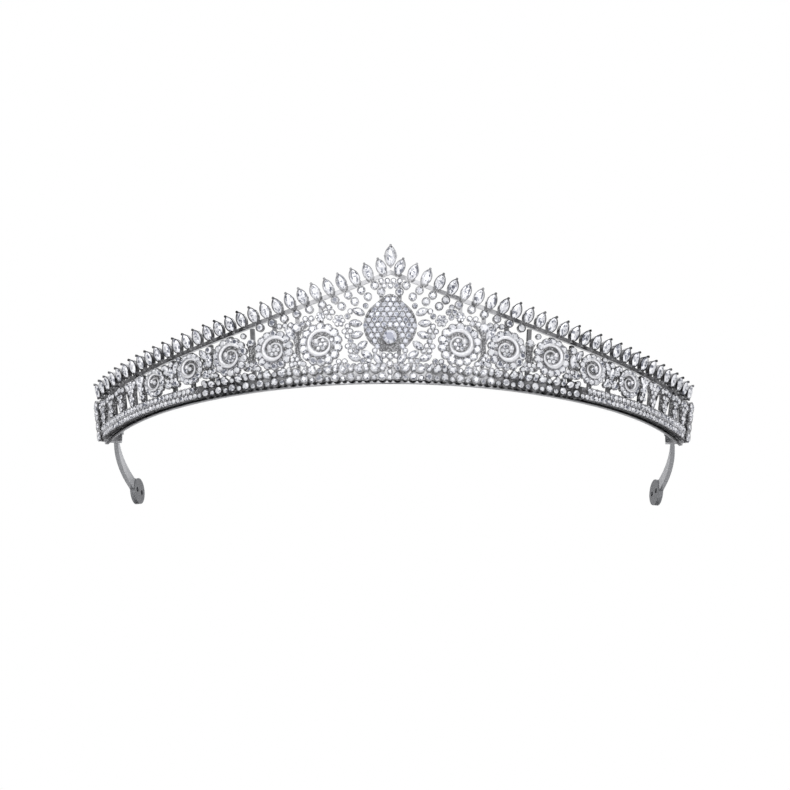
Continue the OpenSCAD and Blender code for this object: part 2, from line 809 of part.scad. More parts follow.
// Bracket: two ears on a web that is fitted to the inside of the head band
module hinge_bracket_right() {
    web_x = -arm_h / 2 - ear_gap - 0.2;
    web_foot = -pin_z + 0.5;
    web_l = 1.6;
    color("silver")
    difference() {
        at_pin()
        difference() {
            union() {
                for (side = [-1, 1])
                    translate([0, side * (arm_t / 2 + ear_gap + ear_t / 2), 0]) {
                        pin_cylinder(ear_r, -ear_t / 2, ear_t / 2);
                        translate([web_x - web_l, -ear_t / 2, -ear_r])
                        cube([web_l - web_x, ear_t, 2 * ear_r]);
                    }
                translate([web_x - web_l, -clevis_half - bracket_reach, web_foot])
                cube([web_l, 2 * clevis_half + bracket_reach, ear_r - web_foot]);
            }
            pin_cylinder(pin_d / 2, -clevis_half - 1, clevis_half + 1);
        }
        wall_ring(-band_t, 12, -1, 14, front_arc, row_arc + 12);
    }
}

// Pin: rivet through both ears, with a low head on each side
module hinge_pin_right() {
    head_t = 0.3;
    color("gray")
    at_pin() {
        pin_cylinder(pin_d / 2, -clevis_half, clevis_half);
        pin_cylinder(pin_d * 0.8, clevis_half, clevis_half + head_t);
        pin_cylinder(pin_d * 0.8, -clevis_half - head_t, -clevis_half);
    }
}

// Arm: round tongue on the pin, a straight root and a long gentle curve
module arm_right() {
    color("darkgray")
    difference() {
        union() {
            at_pin() {
                pin_cylinder(arm_h / 2, -arm_t / 2, arm_t / 2);
                translate([0, -arm_t / 2, -arm_h / 2]) cube([arm_root_l, arm_t, arm_h]);
            }
            translate([
                pin_x + arm_root_l * cos(arm_heading) - arm_r * sin(arm_heading),
                foot_y + pin_from_front + arm_root_l * sin(arm_heading) + arm_r * cos(arm_heading),
                pin_z - arm_h / 2
            ])
            rotate([0, 0, arm_heading - 90])
            rotate_extrude(angle = arm_end_heading - arm_heading, $fn = 360)
            translate([arm_r - arm_t / 2, 0]) square([arm_t, arm_h]);
            at_end_plate()
            translate([-plate_d / 2 - 0.5, -arm_t / 2, pin_z - arm_h / 2 - plate_d / 2])
            cube([2.2, arm_t, arm_h]);
        }
        at_pin() pin_cylinder(pin_d / 2 + pin_fit, -clevis_half - 1, clevis_half + 1);
        end_plate_envelope();
    }
}

// End plate: an upright round-ended plate with two holes side by side
module at_end_plate() {
    translate([end_plate_x, foot_y + end_plate_from_front, plate_d / 2])
    rotate([0, 0, end_plate_heading])
    children();
}
module end_plate_envelope() {
    at_end_plate()
    rotate([-90, 0, 0])
    translate([0, 0, -end_plate_t / 2])
    cylinder(r = plate_d / 2, h = end_plate_t, $fn = 64);
}
module end_plate_right() {
    color("darkgray")
    difference() {
        end_plate_envelope();
        for (side = [-1, 1])
            at_end_plate()
            translate([side * hole_pitch / 2, 0, 0])
            pin_cylinder(hole_d / 2, -end_plate_t, end_plate_t);
    }
}

base_band();
lower_rail();
upper_rail();
ribs_right();
left_side() ribs_right();  // ribs_left
centre_plaque();
centre_stone();
centre_fan();
centre_boss();
finial_setting();
finial_stone();
marquise_settings_right();
left_side() marquise_settings_right();  // marquise_settings_left
marquise_stones_right();
left_side() marquise_stones_right();  // marquise_stones_left
crest_collets_right();
left_side() crest_collets_right();  // crest_collets_left
crest_stones_right();
left_side() crest_stones_right();  // crest_stones_left
scroll(0);  // scroll_right_1
scroll(1);  // scroll_right_2
scroll(2);  // scroll_right_3
scroll(3);  // scroll_right_4
scroll(4);  // scroll_right_5
left_side() scroll(0);  // scroll_left_1
left_side() scroll(1);  // scroll_left_2
left_side() scroll(2);  // scroll_left_3
left_side() scroll(3);  // scroll_left_4
left_side() scroll(4);  // scroll_left_5
link(0);  // link_right_1
link(1);  // link_right_2
link(2);  // link_right_3
link(3);  // link_right_4
link(4);  // link_right_5
left_side() link(0);  // link_left_1
left_side() link(1);  // link_left_2
left_side() link(2);  // link_left_3
left_side() link(3);  // link_left_4
left_side() link(4);  // link_left_5
fans_right();
left_side() fans_right();  // fans_left
flowers_right();
left_side() flowers_right();  // flowers_left
gallery_settings_right();
left_side() gallery_settings_right();  // gallery_settings_left
gallery_stones_right();
left_side() gallery_stones_right();  // gallery_stones_left
pave_band_right();
left_side() pave_band_right();  // pave_band_left
end_cap_right();
left_side() end_cap_right();  // end_cap_left
hinge_bracket_right();
left_side() hinge_bracket_right();  // hinge_bracket_left
hinge_pin_right();
left_side() hinge_pin_right();  // hinge_pin_left
arm_right();
left_side() arm_right();  // arm_left
end_plate_right();
left_side() end_plate_right();  // end_plate_left
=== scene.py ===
"""Bridal tiara: set stones, pave work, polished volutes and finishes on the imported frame."""
import math
import random

import bpy
from bpy.props import FloatProperty, FloatVectorProperty, PointerProperty
from mathutils import Matrix, Vector


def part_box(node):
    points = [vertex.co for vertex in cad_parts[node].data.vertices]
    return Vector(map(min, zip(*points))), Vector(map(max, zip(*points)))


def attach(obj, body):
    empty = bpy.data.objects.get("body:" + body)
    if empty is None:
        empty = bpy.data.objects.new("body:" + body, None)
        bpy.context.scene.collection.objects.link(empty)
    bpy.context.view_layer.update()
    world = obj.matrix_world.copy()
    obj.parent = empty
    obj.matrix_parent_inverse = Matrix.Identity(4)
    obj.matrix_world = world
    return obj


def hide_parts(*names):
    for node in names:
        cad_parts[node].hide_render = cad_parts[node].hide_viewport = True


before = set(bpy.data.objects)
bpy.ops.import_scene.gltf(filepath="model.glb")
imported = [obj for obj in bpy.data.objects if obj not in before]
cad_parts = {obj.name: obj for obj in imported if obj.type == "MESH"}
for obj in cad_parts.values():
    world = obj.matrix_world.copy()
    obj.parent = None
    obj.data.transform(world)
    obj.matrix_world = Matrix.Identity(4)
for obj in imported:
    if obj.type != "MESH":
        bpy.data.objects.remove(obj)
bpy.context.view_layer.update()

bl_info = {
    "name": "Bridal Tiara",
    "version": (1, 0, 0),
    "blender": (4, 5, 0),
    "location": "3D View > Sidebar > Tiara",
    "description": "Sets the stones and finishes of a bridal tiara on its packed frame",
    "category": "Object",
}

MM = 0.001
SIDES = (1, -1)       # right, left

# The wall: two arcs in plan, the same sizes as the frame's, in millimetres and degrees
FRONT_R, FRONT_HALF, SIDE_R, SIDE_SPAN, LEAN = 77.0, 36.0, 58.0, 34.0, 8.0
PEAK_H, END_H, CREST_FALL = 28.4, 13.3, 2.3
BAND_H, RAIL_T, LOWER_RAIL_Z, LOWER_RAIL_H, UPPER_RAIL_H = 2.4, 0.8, 0.5, 2.6, 0.9
PLATE_T, PLATE_GAP, SETTING_WALL = 0.7, 0.12, 0.22
SETTING_T, COLLET_T, GIRDLE_T, POINTED_GIRDLE = 1.0, 0.8, 0.12, 0.3
STONE_SEAT = RAIL_T + COLLET_T - GIRDLE_T
POINTED_SEAT = RAIL_T + SETTING_T - POINTED_GIRDLE
MELEE_SINK = 0.08        # depth of a small stone in its plate
FRONT_ARC = math.radians(FRONT_HALF) * FRONT_R
ROW_ARC = FRONT_ARC + math.radians(SIDE_SPAN) * SIDE_R
FOOT_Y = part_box("base_band")[0].y / MM + BAND_H * math.tan(math.radians(LEAN))

# The rows of stones
MARQUISE_L, MARQUISE_COUNT, MARQUISE_LEAN, MARQUISE_GAP = 3.9, 29, 22.0, 0.2
FINIAL_L, FINIAL_W, FINIAL_RISE, FINIAL_GAP = 4.6, 2.3, 1.9, 0.375
ROW_END_ROOM = 3.1
MARQUISE_RUN = ROW_ARC - ROW_END_ROOM
HALF_SHARE = math.cos(math.radians(MARQUISE_LEAN)) / 2
MARQUISE_FIRST = ((FINIAL_W / 2 + SETTING_WALL + FINIAL_GAP
                   + HALF_SHARE * MARQUISE_RUN / (MARQUISE_COUNT - 1)
                   - SETTING_WALL - MARQUISE_GAP / 2) / (1 + HALF_SHARE / (MARQUISE_COUNT - 1)))
MARQUISE_PITCH = (MARQUISE_RUN - MARQUISE_FIRST) / (MARQUISE_COUNT - 1)
MARQUISE_W = (MARQUISE_PITCH * math.cos(math.radians(MARQUISE_LEAN))
              - 2 * SETTING_WALL - MARQUISE_GAP)
MARQUISE_REACH = MARQUISE_L + 2 * SETTING_WALL
MARQUISE_RISE = MARQUISE_REACH * math.cos(math.radians(MARQUISE_LEAN))
MARQUISE_SIDE = MARQUISE_REACH * math.sin(math.radians(MARQUISE_LEAN))
CREST_D, CREST_COUNT, SECOND_COUNT = 1.45, 10, 4
GALLERY_D, GALLERY_PITCH, GALLERY_COUNT, GALLERY_FIRST = 1.5, 3.35, 13, 1.65
LEAF_L, LEAF_W, LEAF_TURN = 2.2, 1.3, 60.0

# The plates that carry the pave work
SCROLL_COUNT, SCROLL_START_GAP, SCROLL_GAP, SCROLL_R = 5, 0.8, 0.5, 4.9
LINK_W, LAST_LINK_ROOM, FAN_COUNT, PAVE_LEAD, PAVE_EDGE = 5.2, 2.7, 4, 1.3, 0.2
PLAQUE_FOOT, PLAQUE_GAP, PLAQUE_TIP_R, DOME_H, DOME_SHARE = 6.6, 1.2, 1.9, 1.1, 0.95
PETAL_L, PETAL_W, PETAL_ANGLES = 3.0, 1.7, (-36, -16, 4, 24)
CENTRE_D, CENTRE_UP, END_CAP_R = 3.0, 9.6, 1.45
PLAQUE_T, CAP_T = PLATE_T * 1.4, PLATE_T + 0.2
CAP_FOOT, CAP_LOBES = 0.25, 4
HALO_COUNT = 14
LOBE_SHARE, LOBE_WAIST = 0.2, 0.9      # a disc's lobe over its radius, and how deep it dips
FLOWER_R, FLOWER_PETALS, BUD_MIN_R = 1.4, 6, 0.4
FAN_LEAVES = ((2.6, 5, 38), (5, 5.9, 58), (7.6, 5.3, 72))
AXIS_COLLETS, AXIS_D, AXIS_CLEAR = (3.9, 5.6), 1.2, 0.8

# The small stones between the motifs, and the openings left among them as (s, up, r)
FIELD_STEP, CUP_D, CUP_UP = 1.28, 1.25, 0.95
OPENINGS = ((9.2, 6.0, 0.5), (11.4, 17.6, 0.6), (23.4, 14.6, 0.5))
HEX_ROW = 0.866          # height of a hexagonal row over its step

# The camera's direction and turn in degrees, and the soft boxes as name, place, size, watts
CAMERA_AIM = (0, 0.0234, 0)
CAMERA_FROM, CAMERA_LOOK, CAMERA_ROLL = (-1.10, 18.24), (-1.11, 19.52), 0.49
SOFT_AIM = (0, -0.02, 0.015)
SOFT_BOXES = (("front_left", (-0.35, -0.75, 0.35), (0.3, 0.3), 0.9),
              ("front_right", (0.4, -0.7, 0.15), (0.15, 0.4), 0.6),
              ("above", (0.0, -0.1, 0.8), (0.5, 0.3), 0.8))


def heading(s):
    """Direction of the wall's foot, in degrees, at an arc length from the centre."""
    if abs(s) < FRONT_ARC:
        return math.degrees(s / FRONT_R)
    return math.copysign(FRONT_HALF + math.degrees((abs(s) - FRONT_ARC) / SIDE_R), s)


def foot(s):
    """Place of the wall's foot in plan."""
    turn = math.radians(heading(s))
    if abs(s) < FRONT_ARC:
        return FRONT_R * math.sin(turn), FOOT_Y + FRONT_R * (1 - math.cos(turn))
    half = math.radians(FRONT_HALF)
    shift_x = math.copysign((FRONT_R - SIDE_R) * math.sin(half), s)
    shift_y = (SIDE_R - FRONT_R) * math.cos(half)
    return (shift_x + SIDE_R * math.sin(turn),
            FOOT_Y + FRONT_R + shift_y - SIDE_R * math.cos(turn))


def on_wall(s, up=0.0, out=0.0, turn=0.0):
    """Matrix of a place on the wall: x runs along it, y up its slope and z outward."""
    x, y = foot(s)
    return (Matrix.Translation(Vector((x, y, 0)) * MM)
            @ Matrix.Rotation(math.radians(heading(s)), 4, "Z")
            @ Matrix.Rotation(math.radians(90 + LEAN), 4, "X")
            @ Matrix.Translation(Vector((0, up, out)) * MM)
            @ Matrix.Rotation(math.radians(turn), 4, "Z"))


def at(x, y, z=0.0, turn=0.0, size=1.0):
    """Matrix of a place on a plate, in the plate's own millimetres."""
    return (Matrix.Translation(Vector((x, y, z)) * MM)
            @ Matrix.Rotation(math.radians(turn), 4, "Z")
            @ Matrix.Scale(size, 4))


# The crest and the rows under it
CREST_COLLET_R = CREST_D / 2 + SETTING_WALL
CREST_TOUCH = CREST_COLLET_R + PLATE_GAP / 2
CREST_DROP = math.sqrt(CREST_TOUCH ** 2 - ((MARQUISE_PITCH - MARQUISE_SIDE) / 2) ** 2)
CREST_LEAD = (MARQUISE_PITCH + MARQUISE_SIDE) / 2
SECOND_DROP = math.sqrt(max(0.0, (2 * CREST_TOUCH) ** 2 - (MARQUISE_PITCH / 2) ** 2))


def tip_line(s):
    return END_H + (PEAK_H - END_H) * max(0.0, 1 - abs(s) / ROW_ARC) ** CREST_FALL


def rail_line(s):
    return tip_line(s) - MARQUISE_RISE + 0.1


def crest_line(s):
    return tip_line(s + CREST_LEAD) - MARQUISE_RISE - CREST_DROP


def second_row_line(s):
    return crest_line(s + MARQUISE_PITCH / 2) - SECOND_DROP


def marquise_at(n):
    return MARQUISE_FIRST - MARQUISE_SIDE / 2 + n * MARQUISE_PITCH


def gallery_at(n):
    return GALLERY_FIRST + n * GALLERY_PITCH


CREST_END = marquise_at(CREST_COUNT - 1) + MARQUISE_PITCH / 2 + CREST_COLLET_R
SECOND_END = marquise_at(SECOND_COUNT - 1) + CREST_COLLET_R
GALLERY_COLLET_R = GALLERY_D / 2 + SETTING_WALL
GALLERY_ROUND_UP = GALLERY_COLLET_R + 0.25
LEAF_UP = GALLERY_ROUND_UP + GALLERY_COLLET_R + LEAF_W / 2 + 0.06
GALLERY_TOP = (LEAF_UP + (LEAF_L / 2 + SETTING_WALL * 0.2) * math.cos(math.radians(LEAF_TURN))
               + SETTING_WALL * 1.3 + 0.04)
PAVE_TOP = LOWER_RAIL_Z + LOWER_RAIL_H
PAVE_START = gallery_at(GALLERY_COUNT - 1) + GALLERY_COLLET_R + PAVE_LEAD
END_CAP_AT = ROW_ARC - END_CAP_R
PETAL_GAP = PLATE_GAP + 0.1
COLLET_REACH = CREST_COLLET_R + PLAQUE_GAP
COLLET_RISE = second_row_line(marquise_at(1)) - PLAQUE_FOOT
PLAQUE_R = ((marquise_at(1) ** 2 + COLLET_RISE ** 2 - COLLET_REACH ** 2)
            / (2 * (COLLET_RISE + COLLET_REACH)))
PLAQUE_UP = PLAQUE_FOOT + PLAQUE_R
SCROLL_FIRST = PLAQUE_R + PETAL_GAP + PETAL_L + SCROLL_START_GAP + SCROLL_R
PLAQUE_TIP_UP = second_row_line(marquise_at(0)) - math.sqrt(
    max(0.0, (PLAQUE_TIP_R + CREST_COLLET_R + PLATE_GAP * 1.5) ** 2 - marquise_at(0) ** 2))


def motif_ceiling(s, half_width):
    """Height under the crest that a motif of that half width may reach."""
    left, right = s - half_width, s + half_width
    if left < SECOND_END:
        return second_row_line(right) - CREST_TOUCH - PLATE_GAP
    if left < CREST_END:
        return crest_line(right) - CREST_TOUCH - PLATE_GAP
    return rail_line(right) - UPPER_RAIL_H / 2 - PLATE_GAP


def scroll_at(k):
    return SCROLL_FIRST + k * (2 * SCROLL_R + SCROLL_GAP)


def scroll_floor(k):
    return PAVE_TOP + PLATE_GAP if scroll_at(k) - SCROLL_R > PAVE_START else GALLERY_TOP


def scroll_radius(k):
    room = motif_ceiling(scroll_at(k), SCROLL_R * 0.4) - scroll_floor(k)
    return min(SCROLL_R, room / 2)


def scroll_up(k):
    return scroll_floor(k) + scroll_radius(k)


SCROLLS_END = scroll_at(SCROLL_COUNT - 1) + scroll_radius(SCROLL_COUNT - 1)
FAN_FROM = SCROLLS_END + LAST_LINK_ROOM
FAN_PITCH = (END_CAP_AT - END_CAP_R - FAN_FROM) / FAN_COUNT
FAN_W = FAN_PITCH - PLATE_GAP


class TiaraStones(bpy.types.PropertyGroup):
    """Sizes and colours of the small stones and their beads."""
    melee_d: FloatProperty(name="Pave stone", description="Diameter of a pave stone",
                           default=1.15 * MM, unit="LENGTH", precision=5)
    bead_d: FloatProperty(name="Bead", description="Diameter of a bead that holds pave stones",
                          default=0.42 * MM, unit="LENGTH", precision=5)
    crown: FloatProperty(name="Crown", description="Height of a crown over a stone's diameter",
                         default=0.2, min=0.05, max=0.4)
    # The light and dark facet colours are painted reflection: the bright and the shaded facets of
    # a clear stone
    light: FloatVectorProperty(name="Light facets", description="Colour of a bright facet",
                               default=(0.97, 0.975, 1.0), subtype="COLOR")
    dark: FloatVectorProperty(name="Dark facets", description="Colour of a facet in shade",
                              default=(0.16, 0.17, 0.21), subtype="COLOR")


class TiaraMetal(bpy.types.PropertyGroup):
    """Colours of the metal and the relief of the polished volutes."""
    bright: FloatVectorProperty(name="Polished metal", description="Colour of polished metal",
                                default=(0.93, 0.93, 0.945), subtype="COLOR")
    satin: FloatVectorProperty(name="Satin metal", description="Colour of the arms",
                               default=(0.30, 0.305, 0.315), subtype="COLOR")
    volute_share: FloatProperty(name="Volute size", description="Volute radius over its disc's",
                                default=0.74, min=0.4, max=0.8)
    volute_w: FloatProperty(name="Volute width", description="Widest ribbon over volute radius",
                            default=0.36, min=0.15, max=0.45)


class TiaraStage(bpy.types.PropertyGroup):
    """Camera, floor and lights."""
    distance: FloatProperty(name="Camera distance", description="Distance of the camera",
                            default=0.85, unit="LENGTH")
    lens: FloatProperty(name="Lens", description="Focal length in millimetres",
                        default=165.97, min=20)
    light: FloatProperty(name="Light", description="Strength of the soft boxes", default=1.0)
    floor: FloatVectorProperty(name="Floor", description="Colour of the floor",
                               default=(0.86, 0.86, 0.86), subtype="COLOR")


def side_word(side):
    return "right" if side > 0 else "left"


def deselect():
    for ob in bpy.context.selected_objects:
        ob.select_set(False)


def start_piece(name):
    """Names the primitive that was just added and returns it."""
    ob = bpy.context.object
    ob.name = name
    ob.data.name = name
    return ob


def pick_faces(ob, chosen):
    """Selects, in edit mode, the faces for which chosen(face) is true."""
    bpy.ops.object.mode_set(mode="OBJECT")
    for vert in ob.data.vertices:
        vert.select = False
    for edge in ob.data.edges:
        edge.select = False
    for face in ob.data.polygons:
        face.select = bool(chosen(face))
    bpy.ops.object.mode_set(mode="EDIT")
    bpy.ops.mesh.select_mode(type="FACE")


def extrude(offset, scale=(1, 1, 1)):
    bpy.ops.mesh.extrude_region_move(TRANSFORM_OT_translate={"value": offset})
    if scale != (1, 1, 1):
        bpy.ops.transform.resize(value=scale)


def copies(name, template, places):
    """Joins one copy of the template for each matrix into a new piece."""
    deselect()
    for place in places:
        copy = bpy.data.objects.new(name, template.data.copy())
        copy.data.transform(place)
        bpy.context.collection.objects.link(copy)
        copy.select_set(True)
    bpy.context.view_layer.objects.active = copy
    if len(places) > 1:
        bpy.ops.object.join()
    piece = bpy.context.object
    piece.name = name
    piece.data.name = name
    return piece


def join_pieces(name, parts):
    deselect()
    for part in parts:
        part.select_set(True)
    bpy.context.view_layer.objects.active = parts[0]
    bpy.ops.object.join()
    piece = bpy.context.object
    piece.name = name
    piece.data.name = name
    return piece


def drop(*templates):
    for template in templates:
        bpy.data.objects.remove(template)


def shade_facets(piece, seed):
    """Gives every face its own random tone, which the stone material turns into painted
    reflection: light and dark facets, as facets turned to different parts of the room show.
    """
    dice = random.Random(seed)
    # Painted reflection: this tone picks each facet's painted light or painted shade
    tone = piece.data.attributes.new("facet", "FLOAT", "FACE")
    tone.data.foreach_set("value", [dice.random() for _ in piece.data.polygons])


def finish_piece(piece, material, body="rim"):
    piece.data.materials.clear()
    piece.data.materials.append(material)
    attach(piece, body)
    return piece


# Templates: the round ones are one millimetre across

def cut_round(name, sides=8):
    """Round stone: girdle, a crown of kites and triangles, and a table."""
    crown = bpy.context.scene.tiara_stones.crown
    deselect()
    bpy.ops.mesh.primitive_cone_add(vertices=sides, radius1=0.5 * MM, radius2=0.29 * MM,
                                    depth=crown * MM, location=(0, 0, (0.1 + crown / 2) * MM))
    ob = start_piece(name)
    bpy.ops.object.transform_apply(location=True)
    pick_faces(ob, lambda f: f.normal.z > 0.9)
    bpy.ops.transform.rotate(value=math.pi / sides, orient_axis="Z", center_override=(0, 0, 0))
    pick_faces(ob, lambda f: f.normal.z < -0.9)
    extrude((0, 0, -0.1 * MM))
    pick_faces(ob, lambda f: 0.05 < f.normal.z < 0.9)
    bpy.ops.mesh.quads_convert_to_tris(quad_method="SHORTEST_DIAGONAL")
    bpy.ops.object.mode_set(mode="OBJECT")
    return ob


def cut_bead(name):
    """Bead: a short six-sided drum with a domed head."""
    deselect()
    bpy.ops.mesh.primitive_cone_add(vertices=6, radius1=0.5 * MM, radius2=0.44 * MM,
                                    depth=0.5 * MM, location=(0, 0, 0.25 * MM))
    ob = start_piece(name)
    bpy.ops.object.transform_apply(location=True)
    pick_faces(ob, lambda f: f.normal.z > 0.9)
    extrude((0, 0, 0.3 * MM), (0.5, 0.5, 1))
    bpy.ops.object.mode_set(mode="OBJECT")
    bpy.ops.object.shade_smooth_by_angle(angle=math.radians(80))
    return ob


def cut_pointed(name, length, width, girdle=POINTED_GIRDLE, crown=0.42):
    """Pointed oval stone of two arcs, with a stepped crown and a narrow table."""
    arc_r = (length ** 2 + width ** 2) / (4 * width)
    deselect()
    bpy.ops.mesh.primitive_circle_add(vertices=14, radius=length / 2 * MM, fill_type="NGON")
    ob = start_piece(name)
    for vert in ob.data.vertices:
        y = vert.co.y
        half = math.sqrt(max(0.0, (arc_r * MM) ** 2 - y * y)) - (arc_r - width / 2) * MM
        vert.co.x = math.copysign(half, vert.co.x) if abs(vert.co.x) > 1e-7 else 0.0
    pick_faces(ob, lambda f: True)
    extrude((0, 0, girdle * MM))
    extrude((0, 0, crown * 0.6 * MM), (0.7, 0.8, 1))
    bpy.ops.mesh.quads_convert_to_tris(quad_method="LONGEST_DIAGONAL")
    extrude((0, 0, crown * 0.4 * MM), (0.55, 0.72, 1))
    bpy.ops.mesh.select_all(action="SELECT")
    bpy.ops.mesh.normals_make_consistent(inside=False)
    bpy.ops.object.mode_set(mode="OBJECT")
    return ob


def cut_leaf(name):
    """Leaf stone one millimetre long."""
    return cut_pointed(name, 1.0, 0.5, 0.12, 0.18)


def cut_collet(name):
    """Collet: a short cup with a sunk seat."""
    deselect()
    bpy.ops.mesh.primitive_cylinder_add(vertices=10, radius=0.5 * MM, depth=0.5 * MM,
                                        location=(0, 0, 0.25 * MM))
    ob = start_piece(name)
    bpy.ops.object.transform_apply(location=True)
    pick_faces(ob, lambda f: f.normal.z > 0.9)
    bpy.ops.mesh.inset(thickness=0.07 * MM, depth=0.0)
    bpy.ops.mesh.inset(thickness=0.02 * MM, depth=-0.1 * MM)
    bpy.ops.object.mode_set(mode="OBJECT")
    return ob


# Materials

def new_material(name):
    material = bpy.data.materials.new(name)
    material.use_nodes = True
    nodes, links = material.node_tree.nodes, material.node_tree.links
    return material, nodes, links, nodes["Principled BSDF"]


def ramp_between(nodes, low, high, low_colour, high_colour):
    ramp = nodes.new("ShaderNodeValToRGB")
    ramp.color_ramp.elements[0].position = low
    ramp.color_ramp.elements[1].position = high
    ramp.color_ramp.elements[0].color = (*low_colour, 1)
    ramp.color_ramp.elements[1].color = (*high_colour, 1)
    return ramp


def object_noise(nodes, links, scale, detail=3.0, stretch=(1, 1, 1)):
    """Noise on object coordinates, scale in cells per metre."""
    coordinates = nodes.new("ShaderNodeTexCoord")
    mapping = nodes.new("ShaderNodeMapping")
    mapping.inputs["Scale"].default_value = stretch
    noise = nodes.new("ShaderNodeTexNoise")
    noise.inputs["Scale"].default_value = scale
    noise.inputs["Detail"].default_value = detail
    links.new(coordinates.outputs["Object"], mapping.inputs["Vector"])
    links.new(mapping.outputs["Vector"], noise.inputs["Vector"])
    return noise


def bump_from(nodes, links, source, strength, distance):
    bump = nodes.new("ShaderNodeBump")
    bump.inputs["Strength"].default_value = strength
    bump.inputs["Distance"].default_value = distance
    links.new(source, bump.inputs["Height"])
    return bump


def polished_metal(name, colour, dull=0.75, roughness=(0.05, 0.16), scale=900.0, relief=0.08):
    """Plated metal with faint hand polishing: tone, gloss and relief wander a little."""
    material, nodes, links, shader = new_material(name)
    shader.inputs["Metallic"].default_value = 1.0
    noise = object_noise(nodes, links, scale)
    tone = ramp_between(nodes, 0.35, 0.65, [c * dull for c in colour], colour)
    links.new(noise.outputs["Fac"], tone.inputs["Fac"])
    links.new(tone.outputs["Color"], shader.inputs["Base Color"])
    gloss = nodes.new("ShaderNodeMapRange")
    gloss.inputs["To Min"].default_value, gloss.inputs["To Max"].default_value = roughness
    links.new(noise.outputs["Fac"], gloss.inputs["Value"])
    links.new(gloss.outputs["Result"], shader.inputs["Roughness"])
    bump = bump_from(nodes, links, noise.outputs["Fac"], relief, 0.05 * MM)
    links.new(bump.outputs["Normal"], shader.inputs["Normal"])
    return material


def pave_metal(name, colour):
    """Metal raised into small grains, with painted shade darkening the cuts between them."""
    material, nodes, links, shader = new_material(name)
    shader.inputs["Metallic"].default_value = 1.0
    coordinates = nodes.new("ShaderNodeTexCoord")
    grains = nodes.new("ShaderNodeTexVoronoi")
    grains.inputs["Scale"].default_value = 2200.0
    links.new(coordinates.outputs["Object"], grains.inputs["Vector"])
    # Painted shade: the colour falls to a third towards the cuts between the grains
    tone = ramp_between(nodes, 0.15, 0.6, colour, [c * 0.32 for c in colour])
    links.new(grains.outputs["Distance"], tone.inputs["Fac"])
    links.new(tone.outputs["Color"], shader.inputs["Base Color"])
    shader.inputs["Roughness"].default_value = 0.22
    bump = bump_from(nodes, links, grains.outputs["Distance"], 0.6, 0.12 * MM)
    bump.invert = True
    links.new(bump.outputs["Normal"], shader.inputs["Normal"])
    return material


def satin_metal(name, colour):
    """Brushed metal: long fine streaks along the arms."""
    material, nodes, links, shader = new_material(name)
    shader.inputs["Metallic"].default_value = 1.0
    streaks = object_noise(nodes, links, 700.0, 4.0, (4.0, 0.12, 4.0))
    tone = ramp_between(nodes, 0.3, 0.7, [c * 0.8 for c in colour], colour)
    links.new(streaks.outputs["Fac"], tone.inputs["Fac"])
    links.new(tone.outputs["Color"], shader.inputs["Base Color"])
    gloss = nodes.new("ShaderNodeMapRange")
    gloss.inputs["To Min"].default_value = 0.28
    gloss.inputs["To Max"].default_value = 0.45
    links.new(streaks.outputs["Fac"], gloss.inputs["Value"])
    links.new(gloss.outputs["Result"], shader.inputs["Roughness"])
    bump = bump_from(nodes, links, streaks.outputs["Fac"], 0.15, 0.04 * MM)
    links.new(bump.outputs["Normal"], shader.inputs["Normal"])
    return material


def cut_stone(name, light, dark):
    """Clear cut stone: each facet's share of light from inside is painted into its colour as
    painted reflection, bright or shaded by facet, with a painted sparkle over it.
    """
    material, nodes, links, shader = new_material(name)
    facet = nodes.new("ShaderNodeAttribute")
    facet.attribute_name = "facet"
    # Painted reflection: the facet tone picks a colour between the shaded and the bright facet
    # colour
    tone = ramp_between(nodes, 0.14, 0.58, dark, light)
    middle = tone.color_ramp.elements.new(0.32)
    middle.color = (*[(a + 2 * b) / 3 for a, b in zip(dark, light)], 1)
    # Painted sparkle: fine noise that shifts each facet's painted light a little
    painted_sparkle = object_noise(nodes, links, 2600.0, 2.0)
    mix = nodes.new("ShaderNodeMath")
    mix.operation = "MULTIPLY_ADD"
    mix.inputs[1].default_value = 0.35
    shifted = nodes.new("ShaderNodeMath")
    shifted.operation = "SUBTRACT"
    shifted.inputs[1].default_value = 0.175
    links.new(painted_sparkle.outputs["Fac"], mix.inputs[0])
    links.new(facet.outputs["Fac"], mix.inputs[2])
    links.new(mix.outputs["Value"], shifted.inputs[0])
    links.new(shifted.outputs["Value"], tone.inputs["Fac"])
    links.new(tone.outputs["Color"], shader.inputs["Base Color"])
    shader.inputs["Metallic"].default_value = 0.25
    shader.inputs["Roughness"].default_value = 0.04
    shader.inputs["IOR"].default_value = 2.2
    return material


MATERIALS = {}


def make_materials():
    stones = bpy.context.scene.tiara_stones
    metal = bpy.context.scene.tiara_metal
    bright, satin = list(metal.bright), list(metal.satin)
    light, dark = list(stones.light), list(stones.dark)
    # One plating in lighter and darker copies by part: the volutes and beads lighter as a painted
    # highlight, the settings and boss darker as painted shade
    MATERIALS.update(
        polished=polished_metal("polished_metal", [c * 0.55 for c in bright]),
        setting=polished_metal("setting_metal", [c * 0.42 for c in bright], 0.45, (0.08, 0.2)),
        volute=polished_metal("volute_metal", [min(1.0, c * 1.06) for c in bright], 0.95,
                              (0.26, 0.34), 500.0, 0.03),
        pave=pave_metal("pave_metal", [c * 0.7 for c in bright]),
        bead=polished_metal("bead_metal", [c * 0.9 for c in bright], 0.5, (0.1, 0.22), 1500.0),
        satin=satin_metal("satin_metal", satin),
        hinge=polished_metal("hinge_metal", [c * 0.75 for c in bright], 0.7, (0.12, 0.25)),
        boss=polished_metal("boss_metal", [c * 0.4 for c in bright], 0.6, (0.2, 0.3)),
        stone=cut_stone("clear_stone", light, dark),
        cool=cut_stone("cool_stone", [light[0] * 0.95, light[1] * 0.96, light[2]],
                       [c * 1.6 for c in dark]),
    )


